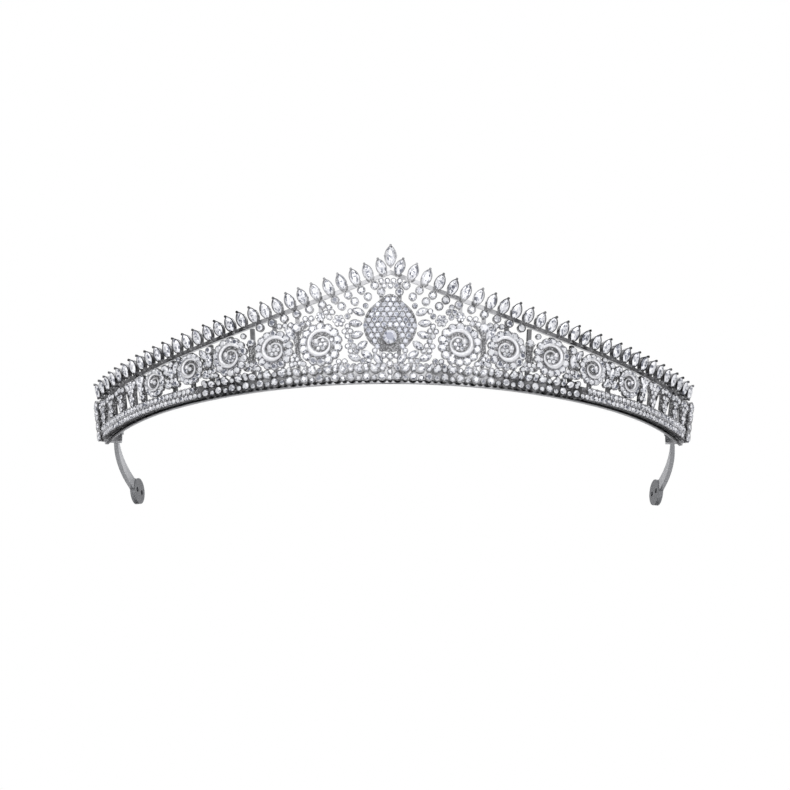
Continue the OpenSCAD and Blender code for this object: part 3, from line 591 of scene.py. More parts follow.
# Point patterns on the plates

def hex_points(step, half_w, half_h):
    """Hexagonal grid round the origin, as (x, y)."""
    rows = int(half_h / (step * HEX_ROW)) + 1
    columns = int(half_w / step) + 2
    points = []
    for row in range(-rows, rows + 1):
        shift = step / 2 if row % 2 else 0.0
        for column in range(-columns, columns + 1):
            points.append((column * step + shift, row * step * HEX_ROW))
    return points


def ring_points(count, radius, half_step=False):
    offset = 0.5 if half_step else 0.0
    return [(radius * math.cos(2 * math.pi * (i + offset) / count),
             radius * math.sin(2 * math.pi * (i + offset) / count),
             math.degrees(2 * math.pi * (i + offset) / count)) for i in range(count)]


def volute_point(r, t):
    """Point in the middle of a volute's wire, from its start at 0 to its ball at 1."""
    angle = math.radians(145 - 470 * t)
    reach = r * (1 - 0.62 * t ** 1.5) - volute_width(r, t) / 2
    return reach * math.cos(angle), reach * math.sin(angle)


def volute_width(r, t):
    swell = math.sin(math.pi * min(1.0, t + 0.18)) ** 2
    return r * bpy.context.scene.tiara_metal.volute_w * (0.35 + 0.65 * swell)


def hex_beads(step, x, y):
    """The two gaps beside a grid point, where the beads go."""
    return [(x + step / 2, y + step * 0.289), (x + step / 2, y - step * 0.289)]


class Field:
    """Collects the places of stones and beads on one sub-part, then makes its pieces."""

    def __init__(self, name, side):
        self.name, self.side = name, side
        self.stones, self.beads, self.leaves, self.collets = [], [], [], []

    def place(self, base, x, y, z, turn, size, tilt=None):
        here = base @ at(self.side * x, y, z, self.side * turn)
        if tilt is not None:
            here = here @ tilt
        return here @ Matrix.Scale(size, 4)

    def cup(self, base, size, turn=0.0):
        """One small stone with the collet that holds it."""
        self.collets.append(base @ at(0, 0, 0, 0, size * 1.03))
        self.stone(base, 0, 0, size * 0.86, COLLET_T - GIRDLE_T - 0.12, turn)

    def stone(self, base, x, y, d, z, turn=0.0, tilt=None):
        self.stones.append(self.place(base, x, y, z, turn, d, tilt))

    def bead(self, base, x, y, d, z, tilt=None):
        self.beads.append(self.place(base, x, y, z, 0.0, d, tilt))

    def leaf(self, base, x, y, length, z, turn):
        self.leaves.append(self.place(base, x, y, z, turn, length))

    def make(self, stone="stone"):
        kinds = ((self.stones, "melee", cut_round, stone, "clear_stone"),
                 (self.leaves, "leaf_stones", cut_leaf, stone, "clear_stone"),
                 (self.beads, "beads", cut_bead, "bead", "setting_metal"),
                 (self.collets, "collets", cut_collet, "setting", "setting_metal"))
        for places, word, cut, material, slot in kinds:
            if not places:
                continue
            template = cut(word + "_template")
            piece = copies(f"{self.name}_{word}", template, places)
            drop(template)
            shade_facets(piece, piece.name)
            finish_piece(piece, MATERIALS[material])


def melee_size():
    return bpy.context.scene.tiara_stones.melee_d / MM


def bead_size():
    return bpy.context.scene.tiara_stones.bead_d / MM


# Sub-parts

def set_stones(name, groups, material="stone"):
    """Cuts one piece of stones for the frame, from groups of a template and its places."""
    parts = [copies(name, template, places) for template, places in groups]
    drop(*(template for template, _ in groups))
    piece = join_pieces(name, parts) if len(parts) > 1 else parts[0]
    shade_facets(piece, piece.name)
    return finish_piece(piece, MATERIALS[material])


def add_marquise_row(side):
    word = side_word(side)
    places = []
    for n in range(MARQUISE_COUNT):
        up = tip_line(MARQUISE_FIRST + n * MARQUISE_PITCH) - MARQUISE_RISE / 2
        places.append(on_wall(side * marquise_at(n), up, POINTED_SEAT, -side * MARQUISE_LEAN))
    template = cut_pointed("marquise_template", MARQUISE_L, MARQUISE_W)
    piece = set_stones(f"marquise_stones_{word}_cut", [(template, places)])
    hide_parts(f"marquise_stones_{word}")


def add_finial():
    up = PEAK_H + FINIAL_RISE - (FINIAL_L + 2 * SETTING_WALL) / 2
    template = cut_pointed("finial_template", FINIAL_L, FINIAL_W, crown=0.6)
    piece = set_stones("finial_stone_cut", [(template, [on_wall(0, up, POINTED_SEAT)])])
    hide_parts("finial_stone")


def crest_places():
    """The collets of the first round row and of the second, as (s, up)."""
    first = [marquise_at(n) + MARQUISE_PITCH / 2 for n in range(CREST_COUNT)]
    second = [marquise_at(n) for n in range(SECOND_COUNT)]
    return [(s, crest_line(s)) for s in first] + [(s, second_row_line(s)) for s in second]


def add_crest_stones(side):
    word = side_word(side)
    places = [on_wall(side * s, up, STONE_SEAT) @ at(0, 0, 0, 0, CREST_D)
              for s, up in crest_places()]
    template = cut_round("crest_template", 10)
    piece = set_stones(f"crest_stones_{word}_cut", [(template, places)])
    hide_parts(f"crest_stones_{word}")


def add_gallery_stones(side):
    """The gallery's round and leaf stones, with small stones in the gaps between them."""
    word = side_word(side)
    rounds = [on_wall(side * gallery_at(n), GALLERY_ROUND_UP, STONE_SEAT)
              @ at(0, 0, 0, 0, GALLERY_D) for n in range(GALLERY_COUNT)]
    leaves = [on_wall(side * (gallery_at(n) + GALLERY_PITCH / 2), LEAF_UP, STONE_SEAT - 0.1,
                      -side * LEAF_TURN)
              for n in range(GALLERY_COUNT - 1)]
    piece = set_stones(f"gallery_stones_{word}_cut",
                       [(cut_round("gallery_template", 10), rounds),
                        (cut_pointed("leaf_template", LEAF_L, LEAF_W, 0.2, 0.34), leaves)])
    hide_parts(f"gallery_stones_{word}")
    field = Field(f"gallery_{word}", side)
    for n in range(GALLERY_COUNT):
        for shift, up in ((GALLERY_PITCH / 2, CUP_UP), (0.0, LEAF_UP)):
            field.cup(on_wall(side * (gallery_at(n) + shift), up, RAIL_T), CUP_D, 90.0 * n)
    if side > 0:
        for up in (CUP_UP, LEAF_UP - 0.7):
            field.cup(on_wall(0, up, RAIL_T), CUP_D)
    field.make()


def lobed_reach(r, lobe_r, angle):
    """Distance of a lobed disc's edge from its centre, in the direction of an angle."""
    step = 2 * math.pi / HALO_COUNT
    off = (angle / step) % 1.0 * step - step / 2
    middle = r - lobe_r
    under = lobe_r ** 2 - (middle * math.sin(off)) ** 2
    edge = middle * math.cos(off) + math.sqrt(under) if under > 0 else 0.0
    return max(r - lobe_r * LOBE_WAIST, edge)


def add_disc(name, base, r):
    """Lobed disc with a raised rim round a sunk field."""
    lobe_r = r * LOBE_SHARE
    deselect()
    bpy.ops.mesh.primitive_cylinder_add(vertices=HALO_COUNT * 6, radius=r * MM,
                                        depth=PLATE_T * MM, location=(0, 0, PLATE_T / 2 * MM))
    ob = start_piece(name)
    bpy.ops.object.transform_apply(location=True)
    for vert in ob.data.vertices:
        angle = math.atan2(vert.co.y, vert.co.x)
        reach = lobed_reach(r, lobe_r, angle) * MM
        vert.co.x, vert.co.y = reach * math.cos(angle), reach * math.sin(angle)
    pick_faces(ob, lambda f: f.normal.z > 0.9)
    bpy.ops.mesh.inset(thickness=0.1 * MM, depth=0.0)
    bpy.ops.mesh.inset(thickness=0.05 * MM, depth=-0.12 * MM)
    bpy.ops.object.mode_set(mode="OBJECT")
    bpy.ops.object.shade_smooth_by_angle(angle=math.radians(35))
    ob.data.transform(base)
    return ob


def add_volute(name, base, side, r):
    """Polished volute: a tapering half-round wire that ends in a ball."""
    count = 46
    deselect()
    bpy.ops.curve.primitive_nurbs_path_add()
    ob = start_piece(name)
    spline = ob.data.splines[0]
    spline.type = "POLY"
    spline.points.add(count - len(spline.points))
    for i, point in enumerate(spline.points):
        t = i / (count - 1)
        x, y = volute_point(r, t)
        half = volute_width(r, t) / 2
        point.co = (side * x * MM, y * MM, (PLATE_T - 0.05 + half * 0.5) * MM, 1)
        point.radius = half
    ob.data.dimensions = "3D"
    ob.data.bevel_depth = MM
    ob.data.bevel_resolution = 2
    ob.data.use_fill_caps = True
    bpy.ops.object.convert(target="MESH")
    bpy.ops.object.shade_smooth()
    ball_x, ball_y = volute_point(r, 1.0)
    bpy.ops.mesh.primitive_uv_sphere_add(
        segments=14, ring_count=8, radius=r * 0.19 * MM,
        location=(side * ball_x * MM, ball_y * MM, (PLATE_T + 0.12) * MM))
    ball = start_piece(name + "_ball")
    bpy.ops.object.transform_apply(location=True)
    bpy.ops.object.shade_smooth()
    piece = join_pieces(name, [ob, ball])
    piece.data.transform(base)
    return piece


def clear_of_volute(r, x, y, margin):
    steps = 60
    return all(math.hypot(x - volute_point(r, i / steps)[0], y - volute_point(r, i / steps)[1])
               > margin + volute_width(r, i / steps) / 2 for i in range(steps + 1))


def add_scroll(side, k):
    name = f"scroll_{side_word(side)}_{k + 1}"
    r = scroll_radius(k)
    volute_r = r * bpy.context.scene.tiara_metal.volute_share
    base = on_wall(side * scroll_at(k), scroll_up(k), RAIL_T)
    disc = add_disc(name + "_disc", base, r)
    finish_piece(disc, MATERIALS["pave"])
    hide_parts(name)
    volute = add_volute(name + "_volute", base, side, volute_r)
    finish_piece(volute, MATERIALS["volute"])
    field = Field(name, side)
    lobe_r = r * LOBE_SHARE
    top = PLATE_T - 0.1
    for x, y, angle in ring_points(HALO_COUNT, r - lobe_r, True):
        field.stone(base, x, y, lobe_r * 1.75, top, angle)
    for x, y, _ in ring_points(HALO_COUNT, r - lobe_r * 1.85):
        field.bead(base, x, y, bead_size(), top)
    for x, y, _ in ring_points(HALO_COUNT, r - lobe_r * 0.45):
        field.bead(base, x, y, bead_size() * 0.9, top)
    small = melee_size() * 0.78
    for x, y in hex_points(small * 1.12, volute_r, volute_r):
        if math.hypot(x, y) < volute_r * 0.86 and clear_of_volute(volute_r, x, y, small * 0.38):
            field.stone(base, x, y, small, top)
    field.make()


def link_at(k):
    if k < SCROLL_COUNT - 1:
        return (scroll_at(k) + scroll_at(k + 1)) / 2
    return SCROLLS_END + LAST_LINK_ROOM / 2


def add_link(side, k):
    s = link_at(k)
    width = LINK_W if k < SCROLL_COUNT - 1 else LAST_LINK_ROOM - 2 * PLATE_GAP
    low = scroll_floor(k) + PLATE_GAP
    height = motif_ceiling(s, width / 2) - low
    base = on_wall(side * s, low, RAIL_T)
    field = Field(f"link_{side_word(side)}_{k + 1}", side)
    top = PLATE_T - MELEE_SINK
    discs = [(scroll_at(j) - s, scroll_up(j) - low, scroll_radius(j))
             for j in (k, k + 1) if j < SCROLL_COUNT]

    def free(x, y, reach):
        return all(math.hypot(x - cx, y - cy) > r + reach for cx, cy, r in discs)

    if free(0, height * 0.56, width * 0.12):
        field.leaf(base, 0, height * 0.56, height * 0.4, top, 0)
    for hand in (-1, 1):
        x, y = hand * width * 0.27, height * 0.76
        if free(x, y, width * 0.08):
            field.leaf(base, x, y, height * 0.34, top, -hand * 32)
        x, y = hand * width * 0.25, height * 0.16
        if free(x, y, width * 0.1):
            field.stone(base, x, y, width * 0.25, top)
    field.stone(base, 0, height * 0.88, min(height * 0.2, width * 0.7), top)
    small = melee_size() * 0.85
    for x, y in hex_points(small * 1.08, width / 2, height):
        in_leaf = abs(x) < width * 0.16 and height * 0.34 < y < height * 0.8
        if (abs(x) < width * 0.3 and height * 0.08 < y < height * 0.8 and not in_leaf
                and free(x, y, small * 0.3)):
            field.stone(base, x, y, small, top)
    field.make()


def add_fans(side):
    field = Field(f"fans_{side_word(side)}", side)
    top = PLATE_T - MELEE_SINK
    lobe_r = FAN_W / 6
    step = melee_size() * 0.95
    for n in range(FAN_COUNT):
        s = FAN_FROM + (n + 0.5) * FAN_PITCH
        low = PAVE_TOP + PLATE_GAP
        height = motif_ceiling(s, FAN_W / 2) - low
        shoulder = height - lobe_r * 1.6
        base = on_wall(side * s, low, RAIL_T)
        for i in (-1, 0, 1):
            field.stone(base, i * lobe_r * 1.95, height - lobe_r - 0.35 * abs(i),
                        lobe_r * 1.7, top)
        for x, y in hex_points(step, FAN_W / 2, height):
            y += step / 2
            half = FAN_W * 0.12 + (FAN_W * 0.38) * y / shoulder
            if 0.2 < y < shoulder - step * 0.3 and abs(x) < half - step * 0.38:
                field.stone(base, x, y, step * 0.92, top)
                for bx, by in hex_beads(step, x, y):
                    if abs(bx) < half - 0.2:
                        field.bead(base, bx, by, bead_size() * 0.7, top)
    field.make()


def flower_places():
    """The flower beside the first scroll and the bud over it, as (s, up, r)."""
    inset = scroll_radius(0) * 0.8
    flower_up = motif_ceiling(SCROLL_FIRST - inset, FLOWER_R) - FLOWER_R
    reach = scroll_radius(0) + FLOWER_R + PLATE_GAP
    clear = math.sqrt(max(0.0, reach ** 2 - (flower_up - scroll_up(0)) ** 2))
    flower_s = SCROLL_FIRST - max(inset, clear)
    bud_floor = scroll_up(0) + scroll_radius(0) + PLATE_GAP
    bud_r = max(BUD_MIN_R, (motif_ceiling(SCROLL_FIRST, 1) - bud_floor) / 2)
    return (flower_s, flower_up, FLOWER_R), (SCROLL_FIRST, bud_floor + bud_r, bud_r)


def add_flowers(side):
    field = Field(f"flowers_{side_word(side)}", side)
    for s, up, r in flower_places():
        base = on_wall(side * s, up, RAIL_T)
        field.stone(base, 0, 0, r * 0.85, PLATE_T)
        for x, y, angle in ring_points(FLOWER_PETALS, r * 0.64):
            field.stone(base, x, y, r * 0.62, PLATE_T - MELEE_SINK, angle)
        for x, y, _ in ring_points(FLOWER_PETALS, r * 0.56, True):
            field.bead(base, x, y, bead_size() * 0.8, PLATE_T - 0.05)
    field.make()


def in_plaque(x, y, margin):
    """True if a point lies on the pear-shaped plate, at least a margin inside its edge."""
    reach = PLAQUE_TIP_UP - PLAQUE_UP
    steps = 16
    return any(PLAQUE_R + (PLAQUE_TIP_R - PLAQUE_R) * i / steps
               - math.hypot(x, y - reach * i / steps) > margin for i in range(steps + 1))


def dome_at(x, y):
    """Height of the dome over the plate, and the tilt of its surface."""
    rim = PLAQUE_R * DOME_SHARE
    ball_r = (rim ** 2 + DOME_H ** 2) / (2 * DOME_H)
    far = math.hypot(x, y)
    if far >= rim:
        return 0.0, Matrix.Identity(4)
    height = math.sqrt(ball_r ** 2 - far ** 2) - (ball_r - DOME_H)
    axis = Vector((-y, x, 0)) if far > 0 else Vector((1, 0, 0))
    return height, Matrix.Rotation(math.asin(far / ball_r), 4, axis)


def add_plaque():
    """Pave over the domed plaque in level rows, with a collar round the centre stone."""
    base = on_wall(0, PLAQUE_UP, RAIL_T)
    field = Field("centre_plaque", 1)
    step = melee_size() * 1.16
    stone_y = CENTRE_UP - PLAQUE_UP
    keep = CENTRE_D / 2 + SETTING_WALL + 0.32
    for x, y in hex_points(step, PLAQUE_R, PLAQUE_R + 7):
        if in_plaque(x, y, step * 0.34) and math.hypot(x, y - stone_y) > keep + step * 0.35:
            rise, tilt = dome_at(x, y)
            field.stone(base, x, y, melee_size(), PLATE_T + rise - 0.09, 0, tilt)
        for bx, by in hex_beads(step, x, y):
            if in_plaque(bx, by, 0.2) and math.hypot(bx, by - stone_y) > keep:
                rise, tilt = dome_at(bx, by)
                field.bead(base, bx, by, bead_size(), PLATE_T + rise - MELEE_SINK, tilt)
    for x, y, _ in ring_points(14, CENTRE_D / 2 + SETTING_WALL + 0.2):
        rise, _ = dome_at(x, y + stone_y)
        field.bead(base, x, y + stone_y, bead_size() * 1.1, PLATE_T + rise - 0.02)
    field.make("cool")


def motifs():
    """Circles, as (s, up, r), that the larger motifs of one side take up on the wall."""
    reach = PLAQUE_R + PETAL_GAP + PETAL_L / 2
    circles = [(scroll_at(k), scroll_up(k), scroll_radius(k)) for k in range(SCROLL_COUNT)]
    circles += [(link_at(k), up, LINK_W * 0.16) for k in range(SCROLL_COUNT)
                for up in range(3, 20)]
    circles += [(s, up, r * 0.95) for s, up, r in flower_places()]
    circles += [(reach * math.cos(math.radians(a)), PLAQUE_UP + reach * math.sin(math.radians(a)),
                 PETAL_W * 0.48) for a in PETAL_ANGLES]
    circles += [(s, up, PETAL_W * 0.5) for s, up, _ in FAN_LEAVES]
    circles += [(0, up, AXIS_CLEAR) for up in AXIS_COLLETS]
    return circles + list(OPENINGS)


def crowds_crest(s, up, r):
    """True if a circle on the wall would lie on a crest collet or reach the marquises."""
    return (up + r > rail_line(s) - UPPER_RAIL_H / 2
            or any(math.hypot(s - x, up - y) < r + CREST_COLLET_R for x, y in crest_places()))


def add_field(side):
    """Round stones in collets that fill the wall between the larger motifs."""
    field = Field(f"field_{side_word(side)}", side)
    taken = motifs()
    step = FIELD_STEP
    for row in range(int(PEAK_H / (step * HEX_ROW))):
        up = GALLERY_TOP - 0.25 + row * step * HEX_ROW
        for column in range(int(FAN_FROM / step)):
            s = column * step + (step / 2 if row % 2 else 0.0)
            low = PAVE_TOP + step / 2 if s > PAVE_START - step else 0.0
            if (up < low or crowds_crest(s, up, step * 0.42)
                    or in_plaque(s, up - PLAQUE_UP, -step * 0.4)
                    or any(math.hypot(s - x, up - y) < r + step * 0.36 for x, y, r in taken)
                    or (s == 0 and side < 0)):
                continue
            field.cup(on_wall(side * s, up, RAIL_T), step, 37.0 * row)
    field.make()


def add_centre_stone():
    out = RAIL_T + PLAQUE_T + DOME_H - GIRDLE_T - 0.05
    template = cut_round("centre_template", 12)
    places = [on_wall(0, CENTRE_UP, out) @ at(0, 0, 0, 0, CENTRE_D)]
    piece = set_stones("centre_stone_cut", [(template, places)], "cool")
    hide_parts("centre_stone")


def add_petals():
    """Leaf stones on the plaque's petals and on the fan under it."""
    field = Field("centre_petals", 1)
    base = on_wall(0, PLAQUE_UP, RAIL_T)
    reach = PLAQUE_R + PETAL_GAP + PETAL_L / 2
    top = PLATE_T - MELEE_SINK
    for hand in (-1, 1):
        for angle in PETAL_ANGLES:
            turn = math.radians(angle)
            field.leaf(base, hand * reach * math.cos(turn), reach * math.sin(turn),
                       PETAL_L * 0.9, top, hand * (angle - 90))
        for x, y, turn in FAN_LEAVES:
            field.leaf(on_wall(0, y, RAIL_T), hand * x, 0, 2.95, top, -hand * turn)
    for up in AXIS_COLLETS:
        field.stone(on_wall(0, up, RAIL_T), 0, 0, AXIS_D, COLLET_T - GIRDLE_T)
    field.make()


def add_pave_band(side):
    """Two close rows of pave stones, with a row of beads along each edge."""
    field = Field(f"pave_band_{side_word(side)}", side)
    lean = math.radians(LEAN)
    out = (RAIL_T + PLATE_T) * math.cos(lean)
    step = melee_size() * 1.04
    to_s = END_CAP_AT - END_CAP_R - PLATE_GAP - step * 0.4
    count = int((to_s - PAVE_START) / step)
    low, high = PAVE_EDGE, PAVE_TOP - PAVE_EDGE
    for i in range(count):
        s = PAVE_START + step * (0.5 + i)
        for row, height in enumerate((low + 0.62, high - 0.68)):
            up = (height + out * math.sin(lean)) / math.cos(lean)
            here = s + row * step / 2
            field.stone(on_wall(side * here, up, out), 0, 0, melee_size(), -0.09)
        for height, shift in ((low + 0.1, step / 2), ((low + high) / 2, step * 0.25),
                              ((low + high) / 2, step * 0.75), (high - 0.08, 0)):
            up = (height + out * math.sin(lean)) / math.cos(lean)
            field.bead(on_wall(side * (s + shift), up, out), 0, 0, bead_size(), -0.06)
    field.make()


def add_end_cap(side):
    field = Field(f"end_cap_{side_word(side)}", side)
    head = rail_line(ROW_ARC) + UPPER_RAIL_H / 2
    gap = (head - CAP_FOOT - 2 * END_CAP_R) / (CAP_LOBES - 1)
    base = on_wall(side * END_CAP_AT, 0, RAIL_T)
    top = CAP_T - MELEE_SINK
    step = melee_size() * 0.98
    centres = [CAP_FOOT + END_CAP_R + i * gap for i in range(CAP_LOBES)]
    for x, y in hex_points(step, END_CAP_R, head):
        if any(math.hypot(x, y - c) < END_CAP_R - step * 0.4 for c in centres):
            field.stone(base, x, y, step * 0.95, top)
            for bx, by in hex_beads(step, x, y):
                if any(math.hypot(bx, by - c) < END_CAP_R - 0.15 for c in centres):
                    field.bead(base, bx, by, bead_size() * 0.8, top)
    field.make()


NODE_FINISH = {
    "polished": ("base_band", "lower_rail", "upper_rail", "ribs_right", "ribs_left"),
    "setting": ("finial_setting", "marquise_settings_right", "marquise_settings_left",
                "crest_collets_right", "crest_collets_left", "gallery_settings_right",
                "gallery_settings_left"),
    "satin": ("arm_right", "arm_left", "end_plate_right", "end_plate_left"),
    "hinge": ("hinge_bracket_right", "hinge_bracket_left", "hinge_pin_right",
              "hinge_pin_left"),
    "boss": ("centre_boss",),
}


def finish_nodes():
    """Every frame node gets its finish; those not listed carry pave work."""
    finish_of = {node: finish for finish, nodes in NODE_FINISH.items() for node in nodes}
    for name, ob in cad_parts.items():
        ob.data.materials.clear()
        ob.data.materials.append(MATERIALS[finish_of.get(name, "pave")])


# The stage

def add_floor(colour):
    """Pale floor, seen only from above."""
    deselect()
    bpy.ops.mesh.primitive_circle_add(vertices=64, radius=4.0, fill_type="NGON",
                                      location=(0, 0, -0.0003))
    floor = start_piece("floor")
    bpy.ops.object.transform_apply(location=True)
    material, nodes, links, shader = new_material("pale_floor")
    grain = object_noise(nodes, links, 60.0)
    tone = ramp_between(nodes, 0.3, 0.7, [c * 0.985 for c in colour], colour)
    links.new(grain.outputs["Fac"], tone.inputs["Fac"])
    links.new(tone.outputs["Color"], shader.inputs["Base Color"])
    shader.inputs["Roughness"].default_value = 0.6
    sides = nodes.new("ShaderNodeNewGeometry")
    clear = nodes.new("ShaderNodeBsdfTransparent")
    mix = nodes.new("ShaderNodeMixShader")
    output = nodes["Material Output"]
    links.new(sides.outputs["Backfacing"], mix.inputs["Fac"])
    links.new(shader.outputs["BSDF"], mix.inputs[1])
    links.new(clear.outputs["BSDF"], mix.inputs[2])
    links.new(mix.outputs["Shader"], output.inputs["Surface"])
    floor.data.materials.append(material)
    floor.visible_shadow = False


def add_world():
    """White surroundings, with soft panels and darker gaps where metal mirrors them."""
    world = bpy.data.worlds.new("studio")
    bpy.context.scene.world = world
    world.use_nodes = True
    nodes, links = world.node_tree.nodes, world.node_tree.links
    nodes.clear()
    direction = nodes.new("ShaderNodeTexCoord")
    noise = nodes.new("ShaderNodeTexNoise")
    noise.inputs["Scale"].default_value = 7.0
    noise.inputs["Detail"].default_value = 2.0
    links.new(direction.outputs["Generated"], noise.inputs["Vector"])
    panels = ramp_between(nodes, 0.41, 0.51, (0.09, 0.095, 0.11), (1.75, 1.75, 1.78))
    links.new(noise.outputs["Fac"], panels.inputs["Fac"])
    parts = nodes.new("ShaderNodeSeparateXYZ")
    links.new(direction.outputs["Generated"], parts.inputs["Vector"])
    sideways = nodes.new("ShaderNodeMath")
    sideways.operation = "ABSOLUTE"
    links.new(parts.outputs["X"], sideways.inputs[0])
    fall = nodes.new("ShaderNodeMapRange")
    for label, value in (("From Min", 0.3), ("From Max", 0.85), ("To Min", 1.0), ("To Max", 0.14)):
        fall.inputs[label].default_value = value
    links.new(sideways.outputs["Value"], fall.inputs["Value"])
    mirrored = nodes.new("ShaderNodeBackground")
    links.new(panels.outputs["Color"], mirrored.inputs["Color"])
    links.new(fall.outputs["Result"], mirrored.inputs["Strength"])
    white = nodes.new("ShaderNodeBackground")
    white.inputs["Color"].default_value = (1, 1, 1, 1)
    path = nodes.new("ShaderNodeLightPath")
    mix = nodes.new("ShaderNodeMixShader")
    output = nodes.new("ShaderNodeOutputWorld")
    links.new(path.outputs["Is Camera Ray"], mix.inputs["Fac"])
    links.new(mirrored.outputs["Background"], mix.inputs[1])
    links.new(white.outputs["Background"], mix.inputs[2])
    links.new(mix.outputs["Shader"], output.inputs["Surface"])


def add_soft_box(name, place, size, power):
    deselect()
    bpy.ops.object.light_add(type="AREA", location=place)
    ob = bpy.context.object
    ob.name = name
    ob.data.shape = "RECTANGLE"
    ob.data.size, ob.data.size_y = size
    ob.data.energy = power
    ob.visible_glossy = False
    ob.rotation_euler = (Vector(SOFT_AIM) - Vector(place)).to_track_quat("-Z", "Y").to_euler()


def add_camera():
    stage = bpy.context.scene.tiara_stage
    place_az, place_el = map(math.radians, CAMERA_FROM)
    look_az, look_el = map(math.radians, CAMERA_LOOK)
    away = Vector((math.sin(place_az) * math.cos(place_el),
                   math.cos(place_az) * math.cos(place_el), math.sin(place_el)))
    bpy.ops.object.camera_add(location=Vector(CAMERA_AIM) - away * stage.distance)
    camera = bpy.context.object
    camera.name = "camera"
    camera.rotation_euler = (Matrix.Rotation(-look_az, 4, "Z")
                             @ Matrix.Rotation(math.pi / 2 + look_el, 4, "X")
                             @ Matrix.Rotation(math.radians(CAMERA_ROLL), 4, "Z")).to_euler()
    camera.data.lens = stage.lens
    camera.data.sensor_width = 36.0
    camera.data.clip_start = 0.01
    camera.data.clip_end = 20.0
    bpy.context.scene.camera = camera


def add_stage():
    stage = bpy.context.scene.tiara_stage
    add_floor(list(stage.floor))
    add_world()
    for name, place, size, watts in SOFT_BOXES:
        add_soft_box(name, place, size, watts * stage.light)
    add_camera()
    bpy.context.scene.view_settings.view_transform = "Standard"


class TIARA_OT_materials(bpy.types.Operator):
    """Makes the metals and stones of the tiara"""
    bl_idname = "tiara.materials"
    bl_label = "Materials"

    def execute(self, context):
        make_materials()
        return {"FINISHED"}


class TIARA_OT_finish(bpy.types.Operator):
    """Gives every solid of the frame its metal"""
    bl_idname = "tiara.finish"
    bl_label = "Frame finishes"

    def execute(self, context):
        finish_nodes()
        return {"FINISHED"}


class TIARA_OT_marquises(bpy.types.Operator):
    """Cuts the pointed stones that stand along the top"""
    bl_idname = "tiara.marquises"
    bl_label = "Marquise row"

    def execute(self, context):
        for side in SIDES:
            add_marquise_row(side)
        return {"FINISHED"}


class TIARA_OT_finial(bpy.types.Operator):
    """Cuts the stone that stands over the middle"""
    bl_idname = "tiara.finial"
    bl_label = "Finial stone"

    def execute(self, context):
        add_finial()
        return {"FINISHED"}


class TIARA_OT_crest(bpy.types.Operator):
    """Cuts the round stones in the crest collets"""
    bl_idname = "tiara.crest"
    bl_label = "Crest stones"

    def execute(self, context):
        for side in SIDES:
            add_crest_stones(side)
        return {"FINISHED"}


class TIARA_OT_gallery(bpy.types.Operator):
    """Cuts the round and leaf stones of the lower row"""
    bl_idname = "tiara.gallery"
    bl_label = "Gallery stones"

    def execute(self, context):
        for side in SIDES:
            add_gallery_stones(side)
        return {"FINISHED"}


class TIARA_OT_field(bpy.types.Operator):
    """Fills the wall between the motifs with round stones in collets"""
    bl_idname = "tiara.field"
    bl_label = "Stone field"

    def execute(self, context):
        for side in SIDES:
            add_field(side)
        return {"FINISHED"}


class TIARA_OT_plaque(bpy.types.Operator):
    """Paves the plaque and cuts its centre stone"""
    bl_idname = "tiara.plaque"
    bl_label = "Plaque"

    def execute(self, context):
        add_plaque()
        add_centre_stone()
        return {"FINISHED"}


class TIARA_OT_petals(bpy.types.Operator):
    """Sets the leaf stones beside and under the plaque"""
    bl_idname = "tiara.petals"
    bl_label = "Petals"

    def execute(self, context):
        add_petals()
        return {"FINISHED"}


class TIARA_OT_scrolls(bpy.types.Operator):
    """Makes the lobed discs with their volutes, halos and pave work"""
    bl_idname = "tiara.scrolls"
    bl_label = "Scrolls"

    def execute(self, context):
        for side in SIDES:
            for k in range(SCROLL_COUNT):
                add_scroll(side, k)
        return {"FINISHED"}


class TIARA_OT_links(bpy.types.Operator):
    """Sets the stones of the links between the scrolls"""
    bl_idname = "tiara.links"
    bl_label = "Links"

    def execute(self, context):
        for side in SIDES:
            for k in range(SCROLL_COUNT):
                add_link(side, k)
        return {"FINISHED"}


class TIARA_OT_fans(bpy.types.Operator):
    """Sets the stones of the small fans near the ends"""
    bl_idname = "tiara.fans"
    bl_label = "Fans"

    def execute(self, context):
        for side in SIDES:
            add_fans(side)
        return {"FINISHED"}


class TIARA_OT_flowers(bpy.types.Operator):
    """Sets the stones of the flowers and buds"""
    bl_idname = "tiara.flowers"
    bl_label = "Flowers"

    def execute(self, context):
        for side in SIDES:
            add_flowers(side)
        return {"FINISHED"}


class TIARA_OT_bands(bpy.types.Operator):
    """Sets the two close rows on each pave band"""
    bl_idname = "tiara.bands"
    bl_label = "Pave bands"

    def execute(self, context):
        for side in SIDES:
            add_pave_band(side)
        return {"FINISHED"}


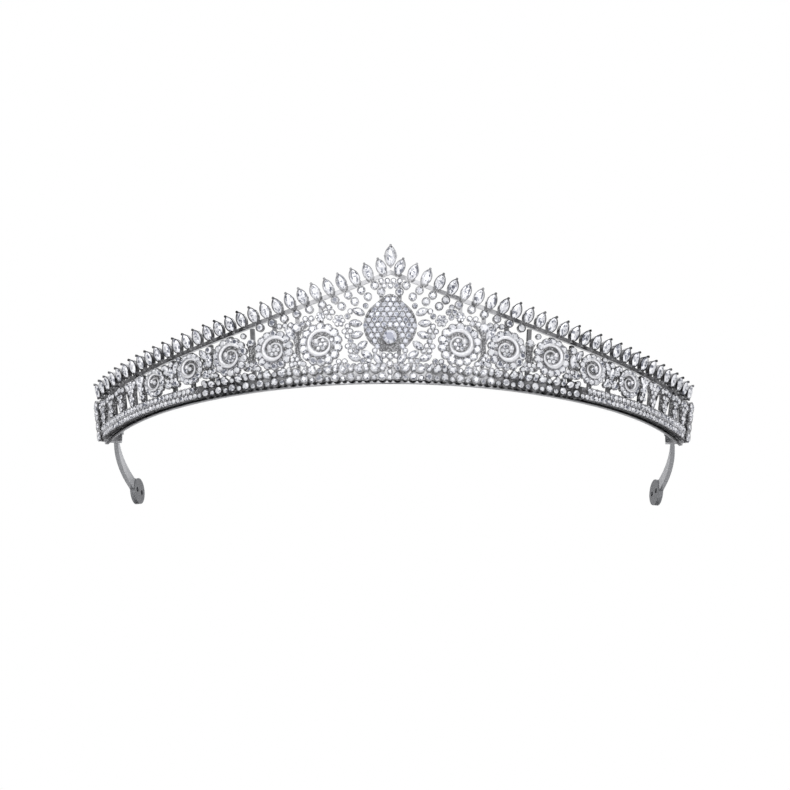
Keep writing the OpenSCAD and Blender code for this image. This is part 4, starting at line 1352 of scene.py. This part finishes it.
class TIARA_OT_caps(bpy.types.Operator):
    """Sets the clusters on the end caps"""
    bl_idname = "tiara.caps"
    bl_label = "End caps"

    def execute(self, context):
        for side in SIDES:
            add_end_cap(side)
        return {"FINISHED"}


class TIARA_OT_stage(bpy.types.Operator):
    """Adds the floor, surroundings, lights and camera"""
    bl_idname = "tiara.stage"
    bl_label = "Stage"

    def execute(self, context):
        add_stage()
        return {"FINISHED"}


OPERATORS = (
    TIARA_OT_materials, TIARA_OT_finish, TIARA_OT_marquises, TIARA_OT_finial,
    TIARA_OT_crest, TIARA_OT_gallery, TIARA_OT_field, TIARA_OT_plaque, TIARA_OT_petals,
    TIARA_OT_scrolls, TIARA_OT_links, TIARA_OT_fans, TIARA_OT_flowers,
    TIARA_OT_bands, TIARA_OT_caps, TIARA_OT_stage,
)


class TIARA_PT_sidebar(bpy.types.Panel):
    """Lists the steps that dress the tiara."""
    bl_idname = "TIARA_PT_sidebar"
    bl_label = "Bridal Tiara"
    bl_space_type = "VIEW_3D"
    bl_region_type = "UI"
    bl_category = "Tiara"

    def draw(self, context):
        for group in (context.scene.tiara_stones, context.scene.tiara_metal,
                      context.scene.tiara_stage):
            for name in group.__annotations__:
                self.layout.prop(group, name)
        for operator in OPERATORS:
            self.layout.operator(operator.bl_idname)


GROUPS = {"tiara_stones": TiaraStones, "tiara_metal": TiaraMetal, "tiara_stage": TiaraStage}


def register():
    for name, group in GROUPS.items():
        bpy.utils.register_class(group)
        setattr(bpy.types.Scene, name, PointerProperty(type=group))
    for operator in OPERATORS:
        bpy.utils.register_class(operator)
    bpy.utils.register_class(TIARA_PT_sidebar)


def unregister():
    bpy.utils.unregister_class(TIARA_PT_sidebar)
    for operator in reversed(OPERATORS):
        bpy.utils.unregister_class(operator)
    for name, group in GROUPS.items():
        delattr(bpy.types.Scene, name)
        bpy.utils.unregister_class(group)


def main():
    register()
    for operator in OPERATORS:
        group, word = operator.bl_idname.split(".")
        if getattr(getattr(bpy.ops, group), word)() != {"FINISHED"}:
            raise RuntimeError(f"{operator.bl_idname} did not finish")


if __name__ == "__main__":
    main()
